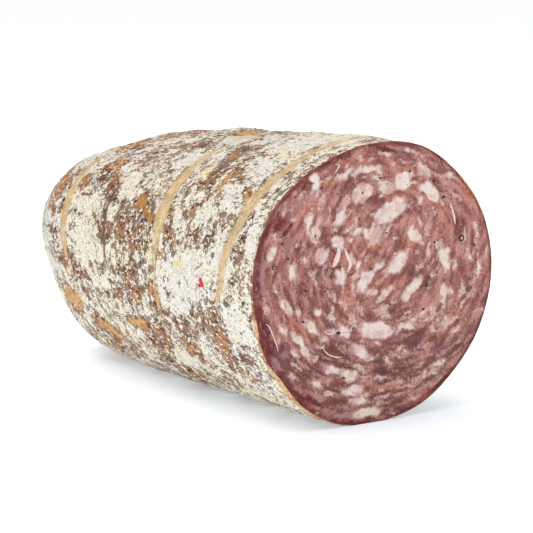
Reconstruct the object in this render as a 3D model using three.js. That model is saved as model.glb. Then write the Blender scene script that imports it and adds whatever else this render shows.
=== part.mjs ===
import * as THREE from 'three';
import { mergeVertices } from 'three/addons/utils/BufferGeometryUtils.js';

// Half of a large fennel salami, lying on its side. Millimetres, +Z up.
// The cut face looks along +X and the closed end lies towards -X.
// A place on the salami is a distance behind the cut, an angle that runs from +Y
// over the top to -Y, and a reach, the share of the way from the middle to the skin.

// Driving dimensions
const LENGTH = 236;
const CUT_RADIUS = 60.5;

// The plain radius, the gap under the salami and its sideways drift,
// each at a share of the length behind the cut.
const GIRTH = [[0, CUT_RADIUS], [0.15, 61], [0.3, 60.4], [0.45, 60.1], [0.6, 59.3], [0.75, 57.9], [1, 48]];
const UNDERSIDE = [[0, -1.9], [0.3, -2], [0.6, -1.7], [0.8, -0.4], [1, 5]];
const DRIFT = [[0, 1.7], [0.25, 0.1], [0.5, -1.9], [0.75, -3.5], [1, -4.4]];

// The closed end: where its dome begins, and how full its side and its tip are.
const DOME_START = 0.55;
const DOME_SIDE = 3.8;
const DOME_TIP = 2.6;

// How far the section is from round: waves round it, and where along the length each is at its full size.
const WAVES = [
  { waves: 2, size: 1.9, crest: 15, full: 'cut' },
  { waves: 3, size: 0.3, crest: 36, full: 'cut' },
  { waves: 4, size: 0.4, crest: -24, full: 'cut' },
  { waves: 5, size: 0.3, crest: 14, full: 'cut' },
  { waves: 2, size: 1.1, crest: 17, full: 'middle' },
  { waves: 3, size: 1, crest: 48, full: 'middle' },
  { waves: 4, size: 2.1, crest: -28, full: 'middle' },
  { waves: 2, size: 1.5, crest: -15, full: 'tip' },
  { waves: 3, size: 2.6, crest: 29, full: 'tip' },
  { waves: 4, size: 2.4, crest: -33, full: 'tip' },
];
const MIDDLE = 0.5;

// Shallow marks that the twine pressed into the casing before it was taken off. Each has a flat floor
// over part of its width, and shoulders that rise beyond it.
const TWINE_MARKS = [
  { distance: 22, depth: 0.45, width: 4.6 },
  { distance: 76, depth: 0.45, width: 4.8 },
  { distance: 120, depth: 0.35, width: 3.6 },
  { distance: 159, depth: 0.45, width: 5 },
  { distance: 198, depth: 0.45, width: 4.6 },
];
const MARK_FLOOR = 0.35;
const MARK_SHOULDER = 1;

// Gentle lumps of the coarse filling under the casing: spacing along and count round.
const LUMPS = [
  { along: 46, round: 3, size: 0.22, start: 0.6 },
  { along: 31, round: 5, size: 0.18, start: 2.1 },
  { along: 67, round: 8, size: 0.14, start: 4.4 },
  { along: 23, round: 11, size: 0.1, start: 1.3 },
];

// The casing gathered at the tip: folds that fade out, and the small knob where it was tied.
const FOLD_COUNT = 13;
const FOLD_DEPTH = 0.9;
const FOLD_REACH = 17;
const FOLD_FADE = 7;
const KNOB_RADIUS = 5;
const KNOB_HEIGHT = 2.4;

// The knife's slight waves in the cut, and the narrow bevel at its rim.
const CUT_WAVE = 0.25;
const CUT_WAVE_SPACING = 34;
const RIM_BEVEL = 0.5;

// How finely the surface is divided.
const SIDES = 72;
const CUT_RINGS = 6;
const STATION_STEP = 7.5;
const MARK_STATIONS = [-1, -0.5, 0, 0.5, 1];
const MARK_CLEARANCE = 2;
const TIP_STEPS = 13;
const TIP_START = 0.84;

// A smooth curve through stations of [place, value].
function through(stations, place) {
  const last = stations.length - 1;
  const x = THREE.MathUtils.clamp(place, stations[0][0], stations[last][0]);
  const slope = (i) => (stations[i + 1][1] - stations[i][1]) / (stations[i + 1][0] - stations[i][0]);
  const tangent = (i) => (slope(Math.max(i - 1, 0)) + slope(Math.min(i, last - 1))) / 2;
  const found = stations.findIndex(([at]) => at > x);
  const i = found === -1 ? last - 1 : found - 1;
  const span = stations[i + 1][0] - stations[i][0];
  const w = (x - stations[i][0]) / span;
  const blend = w * w * (3 - 2 * w);
  const value = THREE.MathUtils.lerp(stations[i][1], stations[i + 1][1], blend);
  const lean = span * w * (1 - w) * ((1 - w) * tangent(i) - w * tangent(i + 1));
  return value + lean;
}

// How much of its full size a wave has at a share of the length.
function waveShare(full, share) {
  if (full === 'cut') return Math.max(0, 1 - share / MIDDLE);
  if (full === 'middle') return 1 - Math.abs(share - MIDDLE) / MIDDLE;
  return Math.max(0, share / MIDDLE - 1);
}

// The plain radius of the salami, round and without marks.
function plainRadius(distance) {
  const share = distance / LENGTH;
  const along = THREE.MathUtils.clamp((share - DOME_START) / (1 - DOME_START), 0, 1);
  return through(GIRTH, share) * (1 - along ** DOME_SIDE) ** (1 / DOME_TIP);
}

// Half of the width that a mark takes up, with its shoulder.
function markReach(mark) {
  return mark.width / 2 + MARK_SHOULDER;
}

// How far the skin stands off the plain radius, by waves, lumps, twine marks and folds at the tip.
function standOff(distance, angle) {
  const radius = plainRadius(distance);
  const slimming = radius / CUT_RADIUS;
  let off = 0;
  for (const { waves, size, crest, full } of WAVES) {
    const turn = waves * (angle - THREE.MathUtils.degToRad(crest));
    off += size * slimming * waveShare(full, distance / LENGTH) * Math.cos(turn);
  }
  for (const { along, round, size, start } of LUMPS) {
    off += size * slimming * Math.sin((2 * Math.PI * distance) / along + round * angle + start);
  }
  for (const mark of TWINE_MARKS) {
    const across = Math.abs(distance - mark.distance) / markReach(mark);
    off -= mark.depth * (1 - THREE.MathUtils.smoothstep(across, MARK_FLOOR, 1));
  }
  const folded = 1 - THREE.MathUtils.smoothstep(radius, FOLD_REACH - FOLD_FADE, FOLD_REACH);
  off -= FOLD_DEPTH * folded * (0.5 + 0.5 * Math.cos(FOLD_COUNT * angle));
  return off * Math.min(1, radius / FOLD_FADE);
}

// The point in space for a place on the surface. The floor presses the lowest part flat.
function surfacePoint(distance, angle, reach) {
  const share = distance / LENGTH;
  const radius = reach * (plainRadius(distance) + standOff(distance, angle));
  const y = through(DRIFT, share) + radius * Math.cos(angle);
  const z = through(UNDERSIDE, share) + through(GIRTH, share) + radius * Math.sin(angle);
  let x = -distance;
  if (share > TIP_START) x -= KNOB_HEIGHT * Math.exp(-((radius / KNOB_RADIUS) ** 4));
  if (distance <= RIM_BEVEL) x += CUT_WAVE * Math.sin((2 * Math.PI * z) / CUT_WAVE_SPACING);
  return new THREE.Vector3(x, y, Math.max(z, 0));
}

// Distances behind the cut at which the skin has a row of points: evenly spaced, closer at each twine
// mark, and closer still where the tip rounds in.
function skinStations() {
  const stations = [RIM_BEVEL];
  const inMark = (d, mark) => Math.abs(d - mark.distance) < markReach(mark) + MARK_CLEARANCE;
  const nearMark = (d) => TWINE_MARKS.some((mark) => inMark(d, mark));
  for (let d = STATION_STEP; d < LENGTH * TIP_START; d += STATION_STEP) {
    if (!nearMark(d)) stations.push(d);
  }
  for (const mark of TWINE_MARKS) {
    for (const step of MARK_STATIONS) stations.push(mark.distance + step * markReach(mark));
  }
  for (let i = 1; i <= TIP_STEPS; i += 1) {
    const round = Math.sin((i / TIP_STEPS) * Math.PI / 2);
    stations.push(LENGTH * THREE.MathUtils.lerp(TIP_START, 1, round));
  }
  return stations.sort((a, b) => a - b);
}

// A body of revolution about the three.js Y axis, which holds the distance behind the cut: from the
// middle of the cut out to the rim, back along the skin, and in to the tip.
function plainBody() {
  const profile = [];
  for (let i = 0; i < CUT_RINGS; i += 1) {
    profile.push(new THREE.Vector2((CUT_RADIUS - RIM_BEVEL) * (i / (CUT_RINGS - 1)), 0));
  }
  for (const distance of skinStations()) {
    profile.push(new THREE.Vector2(plainRadius(distance), distance));
  }
  return new THREE.LatheGeometry(profile, SIDES);
}

// One closed mesh with each corner kept once and no collapsed triangles.
function closed(geometry) {
  geometry.deleteAttribute('normal');
  geometry.deleteAttribute('uv');
  const merged = mergeVertices(geometry, 1e-3);
  const corners = Array.from(merged.index.array);
  const kept = [];
  for (let i = 0; i < corners.length; i += 3) {
    const [a, b, c] = corners.slice(i, i + 3);
    if (a !== b && b !== c && c !== a) kept.push(a, b, c);
  }
  merged.setIndex(kept);
  return merged;
}

// The salami: the plain body, with each corner moved to its true place.
function salamiGeometry() {
  const geometry = closed(plainBody());
  const position = geometry.getAttribute('position');
  for (let i = 0; i < position.count; i += 1) {
    const distance = position.getY(i);
    const plain = Math.hypot(position.getX(i), position.getZ(i));
    const angle = Math.atan2(position.getZ(i), position.getX(i));
    const reach = distance >= LENGTH ? 0 : Math.min(1, plain / plainRadius(distance));
    const point = surfacePoint(distance, angle, reach);
    position.setXYZ(i, point.x, point.y, point.z);
  }
  geometry.computeBoundingBox();
  const middle = geometry.boundingBox.getCenter(new THREE.Vector3());
  geometry.translate(-middle.x, -middle.y, 0);
  geometry.computeVertexNormals();
  return geometry;
}

const casing = new THREE.MeshStandardMaterial({ color: 0xcbb9a0, roughness: 0.9, metalness: 0 });
const salami = new THREE.Mesh(salamiGeometry(), casing);
salami.name = 'salami';

const part = new THREE.Group();
part.add(salami);

export default part;
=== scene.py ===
"""Half of a large fennel salami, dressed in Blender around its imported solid.

The rind is one closed skin: cream mould over golden brown casing, with the tan marks that the twine
left. The cut is a thin disc of marbled meat inside the casing's edge, dotted with fennel seed and
cracked pepper. Lengths are in metres, and sizes given in millimetres go through MM. A place on the
skin is a distance behind the cut and an angle that runs from +Y over the top to -Y. What shows in
the photograph is placed by its pixels there, and the salami's far side carries more of the same.
"""

import logging
import math
from dataclasses import dataclass
from enum import Enum
from functools import cached_property
from typing import Any, Sequence

import bmesh
import bpy
import numpy as np
from mathutils import Matrix, Vector, noise


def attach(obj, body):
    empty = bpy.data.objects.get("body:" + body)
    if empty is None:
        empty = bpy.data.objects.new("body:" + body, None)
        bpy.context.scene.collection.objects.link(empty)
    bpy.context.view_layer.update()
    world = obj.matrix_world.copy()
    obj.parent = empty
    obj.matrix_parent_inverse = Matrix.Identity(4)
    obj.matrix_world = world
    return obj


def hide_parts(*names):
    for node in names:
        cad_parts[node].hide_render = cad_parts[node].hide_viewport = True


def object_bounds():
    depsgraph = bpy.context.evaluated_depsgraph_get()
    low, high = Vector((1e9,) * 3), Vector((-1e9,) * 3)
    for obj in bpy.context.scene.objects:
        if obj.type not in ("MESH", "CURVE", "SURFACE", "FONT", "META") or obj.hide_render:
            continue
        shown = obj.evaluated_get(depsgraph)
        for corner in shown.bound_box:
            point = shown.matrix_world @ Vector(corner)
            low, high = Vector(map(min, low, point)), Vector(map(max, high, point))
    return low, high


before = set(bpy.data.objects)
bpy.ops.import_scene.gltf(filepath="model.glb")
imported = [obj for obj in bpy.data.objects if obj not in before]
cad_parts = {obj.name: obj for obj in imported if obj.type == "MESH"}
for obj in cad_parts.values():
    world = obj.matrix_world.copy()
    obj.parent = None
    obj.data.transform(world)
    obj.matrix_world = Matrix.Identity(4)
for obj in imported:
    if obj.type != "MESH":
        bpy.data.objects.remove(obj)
CAD_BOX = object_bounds()

MM = 0.001
BODY = "root"
NODE = "salami"
Triple = tuple[float, float, float]
Colour = Triple
Fields = dict[str, np.ndarray]
log = logging.getLogger(NODE)


def from_screen(red: int, green: int, blue: int) -> Colour:
    """A colour as it shows on a screen, 0 to 255, turned into the linear light that shaders use."""
    shares = (level / 255 for level in (red, green, blue))
    return tuple(s / 12.92 if s <= 0.04045 else ((s + 0.055) / 1.055) ** 2.4 for s in shares)


def smoothstep(low: float, high: float, x: np.ndarray) -> np.ndarray:
    """The smooth step from 0 at low to 1 at high, for arrays."""
    t = np.clip((x - low) / (high - low), 0.0, 1.0)
    return t * t * (3.0 - 2.0 * t)


def turned_past(angle: np.ndarray, start: float) -> np.ndarray:
    """How far each angle lies from a starting one, the short way round, in radians."""
    return np.angle(np.exp(1j * (angle - start)))


def through(stations: Sequence[tuple[float, float]], place: np.ndarray) -> np.ndarray:
    """A smooth curve through stations.

    Args:
        stations: Pairs of a place and the value there, in order.
        place: Where the curve is read.

    Returns:
        The values, in the shape of place.
    """
    at = np.array([a for a, _ in stations])
    value = np.array([v for _, v in stations])
    slope = np.diff(value) / np.diff(at)
    tangent = np.concatenate([slope[:1], (slope[:-1] + slope[1:]) / 2, slope[-1:]])
    x = np.clip(place, at[0], at[-1])
    i = np.clip(np.searchsorted(at, x, side="right") - 1, 0, len(at) - 2)
    span = at[i + 1] - at[i]
    w = (x - at[i]) / span
    blend = w * w * (3 - 2 * w)
    lean = span * w * (1 - w) * ((1 - w) * tangent[i] - w * tangent[i + 1])
    return value[i] * (1 - blend) + value[i + 1] * blend + lean


def lumpy(points: np.ndarray, size: float, seed: int, layers: int = 1) -> np.ndarray:
    """Smooth noise for many points at once.

    Args:
        points: Coordinates, last axis 3.
        size: The size of the largest lumps, in the points' unit.
        seed: Picks the pattern.
        layers: How many layers are added up, each half as large and half as strong.

    Returns:
        Values of about -1 to 1, in the points' shape without the last axis.
    """
    shift = Vector((seed * 17.31, seed * 5.17, seed * 9.73))
    flat = (points.reshape(-1, 3) / size).tolist()
    made = [noise.fractal(Vector(at) + shift, 1.0, 2.0, layers) for at in flat]
    return np.array(made).reshape(points.shape[:-1])


def clouds(points: np.ndarray, size: float, seed: int,
           contrast: float = 0.9, layers: int = 2) -> np.ndarray:
    """Soft clouds over points, from 0 to 1, with a last axis of 1. Their size is in mm."""
    return np.clip(0.5 + contrast * lumpy(points, size * MM, seed, layers), 0, 1)[..., None]


def blended(tones: tuple[Colour, Colour], share: np.ndarray) -> np.ndarray:
    """Colours between two, at shares of the second that have a last axis of 1."""
    return np.array(tones[0]) * (1 - share) + np.array(tones[1]) * share


@dataclass(frozen=True)
class PhotoView:
    """The photograph's viewpoint, worked out from the outlines of the cut and of the body.

    The target is a point inside the salami. Columns and rows are pixels of the square picture.
    """

    azimuth: float = math.radians(56.48)
    elevation: float = math.radians(8.28)
    distance: float = 0.7
    target: tuple[float, float, float] = (0.05233, -0.00957, 0.05851)
    side: float = 533.0
    focal: float = 1572.4
    sensor_mm: float = 36.0

    @property
    def axes(self) -> np.ndarray:
        """The directions to the picture's right, to its top and back to the camera, as rows."""
        turn, rise = self.azimuth, self.elevation
        right = (math.cos(turn), math.sin(turn), 0.0)
        up = (-math.sin(turn) * math.sin(rise), math.cos(turn) * math.sin(rise), math.cos(rise))
        back = (math.sin(turn) * math.cos(rise), -math.cos(turn) * math.cos(rise), math.sin(rise))
        return np.array([right, up, back])

    @property
    def eye(self) -> np.ndarray:
        """Where the camera stands."""
        return np.array(self.target) + self.axes[2] * self.distance

    @property
    def pixel_mm(self) -> float:
        """How many mm a pixel takes in at the target."""
        return self.distance / self.focal / MM

    def pixels(self, points: np.ndarray) -> tuple[np.ndarray, np.ndarray]:
        """Where points show in the picture.

        Args:
            points: Coordinates, last axis 3.

        Returns:
            Their columns and their rows.
        """
        across, up, back = np.moveaxis((points - self.eye) @ self.axes.T, -1, 0)
        return self.side / 2 - self.focal * across / back, self.side / 2 + self.focal * up / back

    def on_plane(self, column: float, row: float, x: float) -> np.ndarray:
        """The point of the plane at x that shows at a pixel."""
        ray = np.array([column - self.side / 2, self.side / 2 - row, -self.focal]) @ self.axes
        return self.eye + ray * ((x - self.eye[0]) / ray[0])

    def make_camera(self) -> bpy.types.Object:
        """Make the scene's camera.

        Returns:
            The camera object.
        """
        data = bpy.data.cameras.new("camera")
        data.sensor_width = self.sensor_mm
        data.lens = self.focal / self.side * self.sensor_mm
        camera = bpy.data.objects.new("camera", data)
        camera.matrix_world = Matrix.Translation(self.eye) @ Matrix(self.axes.T.tolist()).to_4x4()
        bpy.context.scene.collection.objects.link(camera)
        bpy.context.scene.camera = camera
        return camera


VIEW = PhotoView()


@dataclass(frozen=True)
class Spot:
    """A place in the picture: its middle, its length and width in pixels, and its lean in degrees."""

    column: float
    row: float
    long: float
    wide: float
    lean: float = 0.0

    def inside(self, column: np.ndarray, row: np.ndarray, power: float = 2.4) -> np.ndarray:
        """How many pixels points lie inside the spot's outline.

        Args:
            column: The points' columns.
            row: Their rows.
            power: 2 for an ellipse, and more for a squarer outline.

        Returns:
            Pixels inside, negative outside.
        """
        lean = math.radians(self.lean)
        right, up = column - self.column, self.row - row
        along = np.abs(right * math.cos(lean) + up * math.sin(lean)) * 2 / self.long
        across = np.abs(up * math.cos(lean) - right * math.sin(lean)) * 2 / self.wide
        return (1 - (along**power + across**power) ** (1 / power)) * self.wide / 2


class Full(Enum):
    """Where along the salami a wave of its section is at its full size."""

    CUT = "cut"
    MIDDLE = "middle"
    TIP = "tip"


@dataclass(frozen=True)
class Wave:
    """One wave round the section: how many, how high in mm, a crest's angle in degrees, and where."""

    waves: int
    size: float
    crest: float
    full: Full


class Stain(Enum):
    """What the twine left in its mark: a tan band, or a narrow dark groove."""

    BAND = "band"
    GROOVE = "groove"


@dataclass(frozen=True)
class TwineMark:
    """A shallow mark that a loop of twine pressed in: its depth and width in mm, and its stain.

    Each place of its path is an angle in degrees, the mm behind the cut there, the stain's width in
    mm, and the stain's strength.
    """

    depth: float
    width: float
    stain: Stain
    path: tuple[tuple[float, float, float, float], ...]

    def along(self, angle: np.ndarray) -> list[np.ndarray]:
        """Read the path.

        Args:
            angle: Radians round.

        Returns:
            The mm behind the cut, the stain's width and its strength there.
        """
        turn = np.mod(np.degrees(angle) + 90.0, 360.0) - 90.0
        return [through([(place[0], place[i]) for place in self.path], turn) for i in (1, 2, 3)]


@dataclass(frozen=True)
class Lump:
    """A gentle unevenness of the filling: spacing along in mm, count round, size in mm, start."""

    along: float
    round: int
    size: float
    start: float


@dataclass
class SalamiForm:
    """The salami's true form, as the solid has it. Sizes are in mm."""

    length: float = 236.0
    cut_radius: float = 60.5
    girth: tuple = ((0, 60.5), (0.15, 61), (0.3, 60.4), (0.45, 60.1), (0.6, 59.3), (0.75, 57.9), (1, 48))
    underside: tuple = ((0, -1.9), (0.3, -2), (0.6, -1.7), (0.8, -0.4), (1, 5))
    drift: tuple = ((0, 1.7), (0.25, 0.1), (0.5, -1.9), (0.75, -3.5), (1, -4.4))
    dome_start: float = 0.55
    dome_side: float = 3.8
    dome_tip: float = 2.6
    middle: float = 0.5
    waves: tuple = (
        Wave(2, 1.9, 15, Full.CUT), Wave(3, 0.3, 36, Full.CUT), Wave(4, 0.4, -24, Full.CUT),
        Wave(5, 0.3, 14, Full.CUT), Wave(2, 1.1, 17, Full.MIDDLE), Wave(3, 1.0, 48, Full.MIDDLE),
        Wave(4, 2.1, -28, Full.MIDDLE), Wave(2, 1.5, -15, Full.TIP), Wave(3, 2.6, 29, Full.TIP),
        Wave(4, 2.4, -33, Full.TIP),
    )
    marks: tuple = (
        TwineMark(0.45, 4.6, Stain.BAND, (
            (-90, 24, 0, 0), (-60, 23, 5.2, 0.8), (30, 20, 5.8, 0.9), (95, 16, 5, 0.7),
            (120, 16, 6.4, 0.85), (135, 17, 7.4, 1), (150, 17.6, 6.8, 1), (160, 19, 5.4, 1),
            (171, 21.5, 4.6, 0.95), (180, 23, 3.6, 0.9), (185, 26, 2.6, 0.9), (189, 28, 0, 0),
            (270, 24, 0, 0),
        )),
        TwineMark(0.45, 4.8, Stain.BAND, (
            (-90, 80, 0, 0), (-60, 80, 6, 0.8), (30, 84, 6.4, 0.8), (80, 88, 4, 0.6), (104, 87.3, 4, 0.7),
            (113, 86.3, 4.2, 0.75), (122, 84.3, 4.8, 0.75), (130, 81.6, 5.8, 0.85), (138, 79.2, 7, 1),
            (145, 77.6, 7.8, 1), (150, 76.4, 8, 1), (156, 75.2, 7.8, 1), (162, 74.4, 6.8, 1),
            (167, 74.2, 5, 0.95), (174, 75, 3.2, 0.7), (188, 76, 3, 0.55), (202, 79, 3.4, 0.5),
            (214, 80, 2, 0), (270, 80, 0, 0),
        )),
        TwineMark(0.35, 3.6, Stain.GROOVE, (
            (-90, 118, 0, 0), (-60, 120, 1.6, 0.8), (60, 122, 1.4, 0.6), (110, 123.5, 1, 0.2),
            (140, 123.5, 1, 0.5), (150, 123, 2.4, 1), (158, 122, 2.6, 1), (162, 121, 3, 1),
            (168, 119.8, 1.8, 0.9), (177, 119.5, 1.4, 0.7), (184, 120, 1, 0.35), (200, 121, 1, 0.1),
            (270, 118, 0, 0),
        )),
        TwineMark(0.45, 5.0, Stain.BAND, (
            (-90, 158, 0, 0), (-60, 159, 5.2, 0.8), (30, 162, 5.6, 0.8), (100, 165, 3.6, 0.4),
            (125, 164, 4.2, 0.6), (137, 162.4, 5.2, 0.95), (150, 161.3, 6.2, 1), (160, 161, 7.2, 1),
            (170, 161, 5.8, 1), (178, 160.5, 4, 0.9), (184, 160, 2.8, 0.6), (192, 159, 3, 0.6),
            (199, 158.5, 3.4, 0.8), (212, 158, 2.4, 0.3), (235, 158, 0, 0), (270, 158, 0, 0),
        )),
        TwineMark(0.45, 4.6, Stain.BAND, (
            (-90, 198, 0, 0), (-60, 198, 3.2, 0.6), (20, 199, 3.4, 0.7), (80, 199, 2.6, 0.4),
            (115, 199, 0, 0), (270, 198, 0, 0),
        )),
    )
    mark_floor: float = 0.35
    mark_shoulder: float = 1.0
    lumps: tuple = (
        Lump(46, 3, 0.22, 0.6), Lump(31, 5, 0.18, 2.1), Lump(67, 8, 0.14, 4.4), Lump(23, 11, 0.1, 1.3),
    )
    fold_count: int = 13
    fold_depth: float = 0.9
    fold_reach: float = 17.0
    fold_fade: float = 7.0
    knob_radius: float = 5.0
    knob_height: float = 2.4
    tip_from: float = 0.84
    cut_wave: float = 0.25
    cut_wave_spacing: float = 34.0

    def __post_init__(self) -> None:
        """Find how far the solid stands from where the form's own sizes put it."""
        self.shift = np.zeros(3)
        turn, distance = np.meshgrid(np.linspace(0, 2 * np.pi, 361), np.linspace(1, self.length, 240))
        widest = self.points(distance, turn)[..., 1].max()
        self.shift = np.array([CAD_BOX[1].x - self.cut_wave * MM, CAD_BOX[1].y - widest, 0.0])

    @property
    def cut_x(self) -> float:
        """Where the plane of the cut stands."""
        return float(self.shift[0])

    def wave_share(self, full: Full, share: np.ndarray) -> np.ndarray:
        """How much of its full size a wave has at a share of the length."""
        if full is Full.CUT:
            return np.maximum(0, 1 - share / self.middle)
        if full is Full.MIDDLE:
            return 1 - np.abs(share - self.middle) / self.middle
        return np.maximum(0, share / self.middle - 1)

    def plain_radius(self, distance: np.ndarray) -> np.ndarray:
        """The radius in mm of the round body without marks."""
        share = distance / self.length
        along = np.clip((share - self.dome_start) / (1 - self.dome_start), 0, 1)
        return through(self.girth, share) * (1 - along**self.dome_side) ** (1 / self.dome_tip)

    def stand_off(self, distance: np.ndarray, angle: np.ndarray) -> np.ndarray:
        """How far in mm the skin stands off the plain radius."""
        radius = self.plain_radius(distance)
        slimming = radius / self.cut_radius
        off = np.zeros_like(radius * angle)
        for wave in self.waves:
            turn = wave.waves * (angle - math.radians(wave.crest))
            off += wave.size * slimming * self.wave_share(wave.full, distance / self.length) * np.cos(turn)
        for lump in self.lumps:
            turn = 2 * np.pi * distance / lump.along + lump.round * angle + lump.start
            off += lump.size * slimming * np.sin(turn)
        for mark in self.marks:
            across = np.abs(distance - mark.along(angle)[0]) / (mark.width / 2 + self.mark_shoulder)
            off -= mark.depth * (1 - smoothstep(self.mark_floor, 1, across))
        folded = 1 - smoothstep(self.fold_reach - self.fold_fade, self.fold_reach, radius)
        off -= self.fold_depth * folded * (0.5 + 0.5 * np.cos(self.fold_count * angle))
        return off * np.minimum(1, radius / self.fold_fade)

    def points(self, distance: np.ndarray, angle: np.ndarray, inset: np.ndarray | float = 0.0,
               reach: np.ndarray | float = 1.0) -> np.ndarray:
        """Points of the form.

        Args:
            distance: Mm behind the cut.
            angle: Radians round the length.
            inset: Mm inwards from the skin.
            reach: The share of the way from the middle to there.

        Returns:
            Coordinates in metres, last axis 3.
        """
        share = distance / self.length
        radius = reach * (self.plain_radius(distance) + self.stand_off(distance, angle) - inset)
        y = through(self.drift, share) + radius * np.cos(angle)
        z = through(self.underside, share) + through(self.girth, share) + radius * np.sin(angle)
        knob = self.knob_height * np.exp(-((radius / self.knob_radius) ** 4))
        x = -distance - np.where(share > self.tip_from, knob, 0)
        return np.stack([x * MM, y * MM, np.maximum(z, 0) * MM], axis=-1) + self.shift

    def at_cut(self, angle: float, reach: float) -> np.ndarray:
        """The point of the cut at an angle round it and a share of the way out from its middle."""
        return self.points(np.array(0.0), np.array(angle), reach=reach)

    def knife_wave(self, z: np.ndarray) -> np.ndarray:
        """How far the knife's slight waves bring the cut towards +X, at heights in metres."""
        return self.cut_wave * MM * np.sin(2 * np.pi * z / (self.cut_wave_spacing * MM))

    def on_cut(self, column: float, row: float) -> Vector:
        """The point of the cut that shows at a pixel."""
        point = VIEW.on_plane(column, row, self.cut_x)
        return Vector((self.cut_x + float(self.knife_wave(point[2])), point[1], point[2]))

    def in_cut(self, spot: Spot, sunk: float) -> Matrix:
        """Where a unit ball goes to be a small thing in the cut.

        Args:
            spot: The outline that it shows in the picture.
            sunk: How far its middle lies under the cut, as a share of its depth.

        Returns:
            The matrix, with local Z out of the cut.
        """
        lean = math.radians(spot.lean)
        run, rise = math.cos(lean) * spot.long / 2, math.sin(lean) * spot.long / 2
        middle = self.on_cut(spot.column, spot.row)
        along = self.on_cut(spot.column + run, spot.row - rise) - middle
        along.x = 0.0
        out = Vector((1.0, 0.0, 0.0))
        across = out.cross(along).normalized() * (spot.wide / 2 * VIEW.pixel_mm * MM)
        deep = out * across.length
        placing = Matrix((along, across, deep)).transposed().to_4x4()
        placing.translation = middle - deep * sunk
        return placing

    @cached_property
    def shown_skin(self) -> tuple[np.ndarray, np.ndarray]:
        """Close-set points of the skin that face the camera, and their outward normals."""
        turns = np.linspace(0, 2 * np.pi, 721)
        angle, distance = np.meshgrid(turns, np.linspace(1, 230, 460), indexing="ij")
        points = self.points(distance, angle)
        normals = outward(points)
        faces_camera = ((VIEW.eye - points) * normals).sum(-1) > 0
        return points[faces_camera], normals[faces_camera]

    def on_skin(self, spot: Spot, thick: float) -> Matrix:
        """Where a unit ball goes to be a flat fleck on the skin.

        Args:
            spot: The outline that it shows in the picture.
            thick: Its thickness as a share of its width.

        Returns:
            The matrix, with local Z out of the skin.
        """
        points, normals = self.shown_skin
        column, row = VIEW.pixels(points)
        best = np.hypot(column - spot.column, row - spot.row).argmin()
        out = Vector(normals[best])
        lean = math.radians(spot.lean)
        way = Vector(np.array([math.cos(lean), math.sin(lean)]) @ VIEW.axes[:2])
        across = out.cross(way).normalized()
        half = VIEW.pixel_mm * MM / 2
        sides = (
            across.cross(out) * spot.long * half,
            across * spot.wide * half,
            out * spot.wide * half * thick,
        )
        placing = Matrix(sides).transposed().to_4x4()
        placing.translation = Vector(points[best])
        return placing


def outward(points: np.ndarray) -> np.ndarray:
    """The outward unit normals of a grid of points that goes round in its first axis."""
    there = np.roll(points[:-1], -1, axis=0) - np.roll(points[:-1], 1, axis=0)
    there = np.concatenate([there, there[:1]])
    normal = np.cross(np.gradient(points, axis=1), there)
    return normal / np.maximum(np.linalg.norm(normal, axis=-1, keepdims=True), 1e-12)


def new_mesh(name: str, bm: bmesh.types.BMesh, finish: bpy.types.Material) -> bpy.types.Mesh:
    """Turn a bmesh into a smooth mesh with its faces pointing out.

    Args:
        name: The mesh's name.
        bm: The bmesh, which is freed.
        finish: Its material.

    Returns:
        The mesh.
    """
    bmesh.ops.recalc_face_normals(bm, faces=bm.faces)
    for face in bm.faces:
        face.smooth = True
    mesh = bpy.data.meshes.new(name)
    bm.to_mesh(mesh)
    bm.free()
    mesh.materials.append(finish)
    return mesh


def new_piece(mesh: bpy.types.Mesh, slot: str) -> bpy.types.Object:
    """Link a mesh as a piece that stands for the solid.

    Args:
        mesh: Its mesh, already in place.
        slot: The material slot that its finish belongs to; it is only logged.

    Returns:
        The new object.
    """
    piece = bpy.data.objects.new(mesh.name, mesh)
    bpy.context.scene.collection.objects.link(piece)
    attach(piece, BODY)
    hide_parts(NODE)
    log.info("%s: %d faces, slot %s", piece.name, len(mesh.polygons), slot)
    return piece


@dataclass(frozen=True)
class Blanket:
    """A grid that is laid over a form: its columns go round or across, its rows along or up."""

    columns: int
    rows: int
    uv_name: str = "OFBake"

    def lay(self, points: np.ndarray, fields: Fields) -> bmesh.types.BMesh:
        """Make the grid, move its points to their places, and join those that meet.

        Args:
            points: Coordinates in metres, of (columns + 1, rows + 1, 3).
            fields: For each name, numbers or vectors over the first two axes.

        Returns:
            A bmesh that carries the fields.
        """
        bm = bmesh.new()
        bm.loops.layers.uv.new(self.uv_name)
        bmesh.ops.create_grid(bm, x_segments=self.columns, y_segments=self.rows, size=0.5, calc_uvs=True)
        layers = bm.verts.layers
        carried = [
            (layers.float.new(name) if values.ndim == 2 else layers.float_vector.new(name), values.tolist())
            for name, values in fields.items()
        ]
        places = points.tolist()
        for vert in bm.verts:
            column = round((vert.co.x + 0.5) * self.columns)
            row = round((vert.co.y + 0.5) * self.rows)
            vert.co = places[column][row]
            for layer, values in carried:
                vert[layer] = values[column][row]
        bmesh.ops.remove_doubles(bm, verts=bm.verts, dist=1e-6)
        bmesh.ops.dissolve_degenerate(bm, edges=bm.edges, dist=1e-7)
        return bm


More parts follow.
